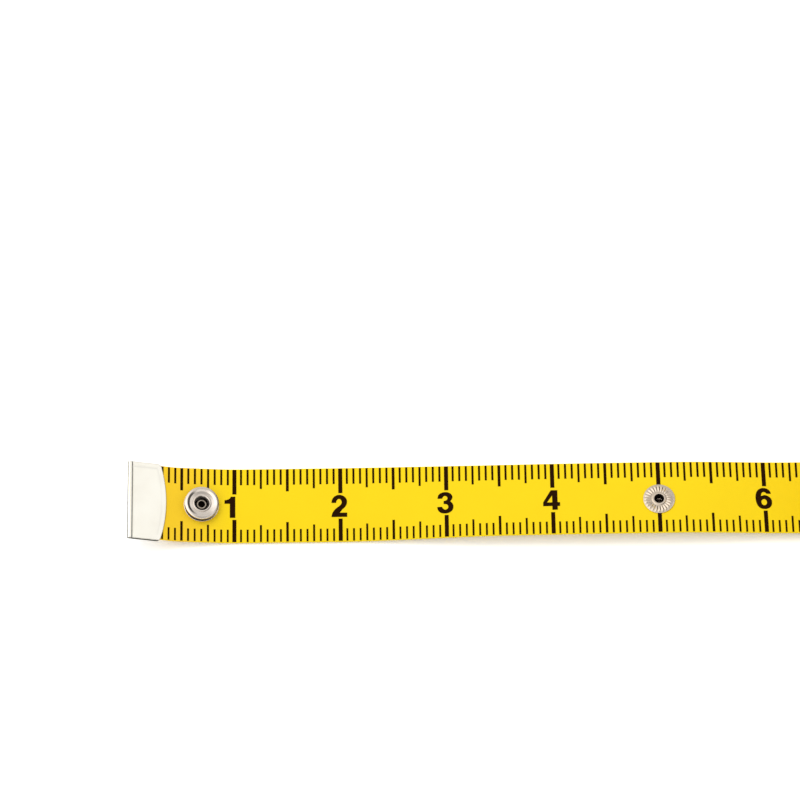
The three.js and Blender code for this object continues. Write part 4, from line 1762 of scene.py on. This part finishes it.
    def eyelet_mesh(self, grip: float, name: str, plugged: bool) -> bpy.types.Mesh:
        """Builds an eyelet: a fluted flange under the ribbon and a clenched barrel through it.

        Args:
            grip: height of the sheet that the barrel is clenched over.
            name: the mesh's name.
            plugged: whether a dark plug, painted shade, closes the bore.

        Returns:
            The mesh, in mm.
        """
        top = -self.half_thickness - self.seat_gap
        under = top - self.flange_sheet
        lip = grip + self.seat_gap
        collar = under - self.collar_height
        inner = self.barrel_bore
        outer = inner + self.barrel_wall
        fluted = self.flute_end - self.flute_start
        pressed = [(self.flute_start + fluted * k / self.flute_rings, under, 0)
                   for k in range(self.flute_rings + 1)]
        # Where plugged, a dark disc closes the bore as painted shade
        profile = rounded([
            (self.mouth_radius, collar, 0.08),
            (self.collar_radius - self.collar_taper, collar, 0.14),
            (self.collar_radius, under, 0.06), *pressed,
            (self.flange_radius, under, 0.16), (self.flange_radius, top, 0.04),
            (outer, top, 0), (outer, lip, 0.02),
            (self.clench_radius, lip, 0.08), (self.clench_radius, lip + self.barrel_wall, 0.12),
            (inner, lip + self.barrel_wall, 0.12), *self.dirt(inner, plugged),
            (inner, top + self.flare_depth, 0.1), (inner + self.flare_width, top, 0.1)])
        base = turned(profile, name, self.flute_facets * self.flute_count)
        paint_shade(base, lambda spot: self.eyelet_grime(lip, spot))
        return grow(self.flutes, base, {
            "Count": self.flute_count, "Height": self.flute_height,
            "Fullness": self.flute_fullness, "Inner": self.flute_start,
            "Outer": self.flute_end, "Top": under + self.flute_edge,
            "Material": self.worn}, name)

    def dirt(self, bore: float, plugged: bool) -> list[tuple[float, float, float]]:
        """Returns the profile points of a dark plug in a bore, which stands for shade, or none."""
        half = self.dirt_depth / 2
        return [(bore, half, 0), (0, half, 0), (0, -half, 0), (bore, -half, 0)] if plugged else []

    def eyelet_grime(self, lip: float, spot: Vector) -> float:
        """Works out the painted shade on an eyelet: in its bore, and less on its clenched end.

        Args:
            lip: height of the sheet under the clenched end.
            spot: a point on the eyelet.

        Returns:
            The painted shade.
        """
        radius = spot.xy.length
        if spot.z > lip - self.clench_edge:
            inside = radius <= self.barrel_bore + self.bore_grime_reach
            return self.caked if inside else self.clench_grime
        return self.caked if radius < self.mouth_radius - self.mouth_grime_inset else 0.0

    def shell_profile(self, low: float) -> list[tuple[float, float]]:
        """Draws the rounded profile of the socket's shell.

        The rim overhangs the wall, so that a dark gap shows under it, and the top is dished
        round a raised lip.

        Args:
            low: height of the shell's foot.

        Returns:
            The points of the profile.
        """
        throat = low + self.spring_room
        top = throat + self.crown
        dish = top - self.dish_depth
        out = self.socket_radius
        wall = out - self.undercut
        return rounded([
            (wall - self.wall, low, 0), (wall, low, 0.04),
            (wall, top - self.rim_depth - self.rim_neck, 0.12),
            (out - self.rim_chamfer, top - self.rim_depth, 0.08),
            (out, top - self.rim_depth + self.rim_chamfer, 0.08),
            (out, top - self.rim_fall, self.rim_radius),
            (self.crown_inner, top, 0.28),
            (self.dish_bend, top - self.dish_bend_share * self.dish_depth, 0.25),
            (self.dish_radius, dish, 0.12),
            (self.lip_foot, dish, 0.06),
            (self.lip_foot - self.lip_slope, top - self.lip_drop, 0.12),
            (self.lip_radius - self.lip_bevel, top - self.lip_drop, 0.08),
            (self.throat_radius, dish + self.lip_step, 0.12), (self.throat_radius, throat, 0.03),
            (wall - self.wall, throat, 0.1)], self.corner_steps)

    def shell_grime(self, low: float, spot: Vector) -> float:
        """Works out the painted shade on the shell: in its throat, inside it and under its rim.

        Args:
            low: height of the shell's foot.
            spot: a point on the shell.

        Returns:
            The painted shade.
        """
        top = low + self.spring_room + self.crown
        radius = spot.xy.length
        if spot.z < top - self.rim_depth + self.rim_grime_reach:
            return self.caked
        foot = 1 - min(abs(radius - self.lip_foot) / self.foot_grime_reach, 1.0)
        if radius < self.throat_radius + self.grime_edge:
            return self.caked
        in_dish = spot.z < top - self.dish_depth + self.dish_grime_rise
        return self.dish_grime * foot if in_dish else 0.0

    def make(self, path: TapePath) -> None:
        """Builds both halves and sets them on the ribbon.

        Args:
            path: the way the ribbon lies.
        """
        socket = path.frame_at(path.socket_place)
        stud = (path.frame_at(path.stud_place, path.stud_aside)
                @ Matrix.Rotation(math.pi, 4, "X"))
        low = self.half_thickness + self.seat_gap
        base_top = low + self.base_sheet
        shell_low = base_top + self.seat_gap
        bore = self.barrel_bore + self.barrel_wall + self.seat_gap
        base = turned(rounded([
            (bore, low, 0), (self.socket_radius + self.socket_ledge, low, 0.05),
            (self.socket_radius + self.socket_ledge, base_top, 0.09), (bore, base_top, 0)]),
            "socket_base_ring")
        # Where the shell covers the base ring, the ring is painted in full shade
        covered = self.socket_radius + self.grime_edge
        paint_shade(base, lambda spot: self.caked * (spot.xy.length < covered))
        self.dress(base, "socket_base_ring", "socket_base", "lead", socket, self.nickel)
        shell = turned(self.shell_profile(shell_low), "socket_dished_shell",
                       self.shell_facets)
        paint_shade(shell, lambda spot: self.shell_grime(shell_low, spot))
        self.dress(shell, "socket_dished_shell", "socket_shell", "lead", socket, self.nickel)
        height = shell_low + self.spring_room - self.seat_gap - self.wire / 2
        ring = grow(self.ring, bpy.data.meshes.new("empty"), {
            "Radius": self.throat_radius + self.wire / 2 - self.grip,
            "Wire Radius": self.wire / 2, "Sweep": 2 * math.pi - self.wire_gap,
            "Steps": self.ring_steps, "Wire Facets": self.wire_facets,
            "Height": height, "Material": self.steel}, "socket_wire_ring")
        # The spring wire in the throat gets some painted shade all over
        paint_shade(ring, lambda spot: self.spring_grime)
        self.dress(ring, "socket_wire_ring", "socket_spring", "lead", socket, self.steel)
        self.dress(self.eyelet_mesh(base_top, "socket_fluted_eyelet", True),
                   "socket_fluted_eyelet", "socket_eyelet", "lead", socket, self.worn)
        grip = low + self.stud_sheet
        self.dress(self.stud_mesh(low, grip), "stud_hollow_post", "stud_post", "stretch_4",
                   stud, self.nickel)
        self.dress(self.eyelet_mesh(grip, "stud_fluted_eyelet", False), "stud_fluted_eyelet",
                   "stud_eyelet", "stretch_4", stud, self.worn)

    def stud_mesh(self, low: float, grip: float) -> bpy.types.Mesh:
        """Builds the stud with its rolled base and hollow head.

        Args:
            low: height of its foot over the ribbon's middle.
            grip: height of its base's upper face.

        Returns:
            The mesh, in mm.
        """
        top = low + self.stud_height
        widest = top - self.head_drop
        bore = self.barrel_bore + self.barrel_wall + self.seat_gap
        profile = rounded([
            (bore, low, 0), (self.stud_base_radius, low, 0.05),
            (self.stud_base_radius, grip, 0.13), (self.stud_neck, grip, 0.12),
            (self.stud_neck, widest - self.head_bevel, 0.1), (self.stud_head, widest, 0.1),
            (self.stud_head - self.head_bevel, top, 0.12), (0, top, 0),
            (0, top - self.stud_sheet, 0), (self.stud_hollow, top - self.stud_sheet, 0.1),
            (self.stud_hollow, grip, 0), (bore, grip, 0)])
        return turned(profile, "stud_hollow_post")

    def dress(self, mesh: bpy.types.Mesh, name: str, node: str, body: str, place: Matrix,
              finish: bpy.types.Material) -> None:
        """Puts a mesh on the ribbon, gives it its finish and hands it over.

        Args:
            mesh: the mesh, in mm.
            name: the piece's name.
            node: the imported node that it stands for.
            body: the body that it rides on.
            place: where it goes, from mm to metres.
            finish: its material.
        """
        mesh.transform(place)
        if not mesh.materials:
            mesh.materials.append(finish)
        piece = piece_of(shade(mesh, self.sharp_over), name)
        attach(piece, body)
        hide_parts(node)
        log.info("%s on %s", name, body)


# The studio


@dataclass
class Studio:
    """A white sweep under soft light, seen from high in front."""

    elevation: float = math.radians(68.19)
    yaw: float = math.radians(0.803)
    distance: float = 1042.0
    target: tuple[float, float, float] = (-38.35, 26.97, 0.0)
    focal_pixels: float = 4309.0
    picture: float = 800.0
    sensor: float = 36.0
    near_clip: float = 50.0
    sky: float = 0.79
    dark: float = 0.08
    bright_way: tuple[float, float, float] = (-0.78, 0.1, 0.62)
    dark_below: float = -0.28
    bright_above: float = -0.02
    window: float = 0.6
    window_from: float = 0.45
    window_to: float = 0.8
    dim_way: tuple[float, float, float] = (0.15, -0.1, 0.98)
    dim_from: float = 0.85
    dim_to: float = 0.97
    dim_level: float = 0.5
    far_wall: float = 0.75
    far_from: float = 0.38
    far_to: float = 0.56
    key_power: float = 3.2
    key_place: tuple[float, float, float] = (-300.0, 460.0, 900.0)
    key_size: float = 700.0
    floor_drop: float = 0.4
    floor_half: float = 3000.0

    def make_camera(self) -> None:
        """Adds the camera at the photograph's place, with plain sRGB colours."""
        lens = bpy.data.cameras.new("camera")
        lens.sensor_width = self.sensor
        lens.lens = self.focal_pixels * self.sensor / self.picture
        lens.clip_start = self.near_clip * MM
        camera = bpy.data.objects.new("camera", lens)
        bpy.context.scene.collection.objects.link(camera)
        forward = Vector((math.sin(self.yaw) * math.cos(self.elevation),
                          math.cos(self.yaw) * math.cos(self.elevation),
                          -math.sin(self.elevation)))
        right = Vector((math.cos(self.yaw), -math.sin(self.yaw), 0.0))
        up = right.cross(forward)
        turn = Matrix((right, up, -forward)).transposed().to_4x4()
        spot = (Vector(self.target) - forward * self.distance) * MM
        camera.matrix_world = Matrix.Translation(spot) @ turn
        bpy.context.scene.camera = camera
        bpy.context.scene.view_settings.view_transform = "Standard"

    def make_floor(self) -> None:
        """Lays the white sweep, a little low, so that the tape's shadow is soft all along."""
        shape = bmesh.new()
        bmesh.ops.create_grid(shape, x_segments=1, y_segments=1, size=self.floor_half * MM)
        mesh = bpy.data.meshes.new("sweep")
        shape.to_mesh(mesh)
        shape.free()
        mesh.transform(Matrix.Translation((0.0, 0.0, -self.floor_drop * MM)))
        mesh.materials.append(MattePaper().make())
        piece_of(mesh, "sweep")

    def make_key_light(self) -> None:
        """Hangs the broad key light high behind the tape, to its left."""
        lamp = bpy.data.lights.new("key", "AREA")
        lamp.shape = "SQUARE"
        lamp.size = self.key_size * MM
        lamp.energy = self.key_power
        key = bpy.data.objects.new("key", lamp)
        bpy.context.scene.collection.objects.link(key)
        key.location = Vector(self.key_place) * MM
        key.rotation_euler = (-key.location).to_track_quat("-Z", "Y").to_euler()
        key.visible_glossy = False

    def make_sky(self) -> None:
        """Fills the sky: even light for the tape, and a room for its metal to mirror."""
        world = bpy.data.worlds.new("studio_sky")
        world.use_nodes = True
        bpy.context.scene.world = world
        tree = world.node_tree
        back = tree.nodes["Background"]
        back.inputs["Color"].default_value = (1.0, 1.0, 1.0, 1.0)
        ray = add_node(tree, "ShaderNodeLightPath")
        # Mirrors see a bright window opposite a dark low side, a grey far wall and a dim ceiling
        way = add_node(tree, "ShaderNodeTexCoord")
        facing = add_node(tree, "ShaderNodeVectorMath", {
            0: way.outputs["Generated"], 1: self.bright_way}, operation="DOT_PRODUCT")
        room = add_node(tree, "ShaderNodeMapRange", {
            "Value": facing.outputs["Value"], "From Min": self.dark_below,
            "From Max": self.bright_above, "To Min": self.dark, "To Max": 1.0},
            interpolation_type="SMOOTHSTEP")
        parts = add_node(tree, "ShaderNodeSeparateXYZ", {0: way.outputs["Generated"]})
        wall = add_node(tree, "ShaderNodeMapRange", {
            "Value": parts.outputs["Y"], "From Min": self.far_from, "From Max": self.far_to,
            "To Min": 1.0, "To Max": self.far_wall}, interpolation_type="SMOOTHSTEP")
        window = add_node(tree, "ShaderNodeMapRange", {
            "Value": facing.outputs["Value"], "From Min": self.window_from,
            "From Max": self.window_to, "To Min": 0.0, "To Max": self.window},
            interpolation_type="SMOOTHSTEP")
        room = add_node(tree, "ShaderNodeMath", {
            0: room.outputs["Result"], 1: window.outputs["Result"]}, operation="ADD")
        room = add_node(tree, "ShaderNodeMath", {
            0: room.outputs[0], 1: wall.outputs["Result"]}, operation="MULTIPLY")
        above = add_node(tree, "ShaderNodeVectorMath", {
            0: way.outputs["Generated"], 1: self.dim_way}, operation="DOT_PRODUCT")
        ceiling = add_node(tree, "ShaderNodeMapRange", {
            "Value": above.outputs["Value"], "From Min": self.dim_from,
            "From Max": self.dim_to, "To Min": 1.0, "To Max": self.dim_level},
            interpolation_type="SMOOTHSTEP")
        room = add_node(tree, "ShaderNodeMath", {
            0: room.outputs[0], 1: ceiling.outputs["Result"]}, operation="MULTIPLY")
        # White for the camera and through glass, the room for mirrors, the sky's level for light
        clear = add_node(tree, "ShaderNodeMath", {
            0: ray.outputs["Is Camera Ray"], 1: ray.outputs["Is Transmission Ray"]},
            operation="ADD", use_clamp=True)
        lit = add_node(tree, "ShaderNodeMix", {
            0: ray.outputs["Is Glossy Ray"], 2: self.sky, 3: room.outputs[0]},
            data_type="FLOAT")
        level = add_node(tree, "ShaderNodeMix", {
            0: clear.outputs[0], 2: lit.outputs[0], 3: 1.0}, data_type="FLOAT")
        tree.links.new(level.outputs[0], back.inputs["Strength"])


def main() -> None:
    """Builds the tape and its studio, piece by piece."""
    logging.basicConfig(level=logging.INFO, format="%(message)s")
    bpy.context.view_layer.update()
    studio = Studio()
    studio.make_camera()
    path = TapePath()
    log.info("turns in the roll: %.2f", path.roll_angle / (2 * math.pi))
    Ribbon(path).make()
    cap = EndCap()
    cap.make("zero_end_cap", "end_cap_start", "lead", path.frame_at(-path.zero_inset))
    finish = path.frame_at(path.length) @ Matrix.Rotation(math.pi, 4, "Z")
    cap.make("far_end_cap", "end_cap_finish", "root", finish)
    PressStud().make(path)
    studio.make_floor()
    studio.make_key_light()
    studio.make_sky()


if __name__ == "__main__":
    main()
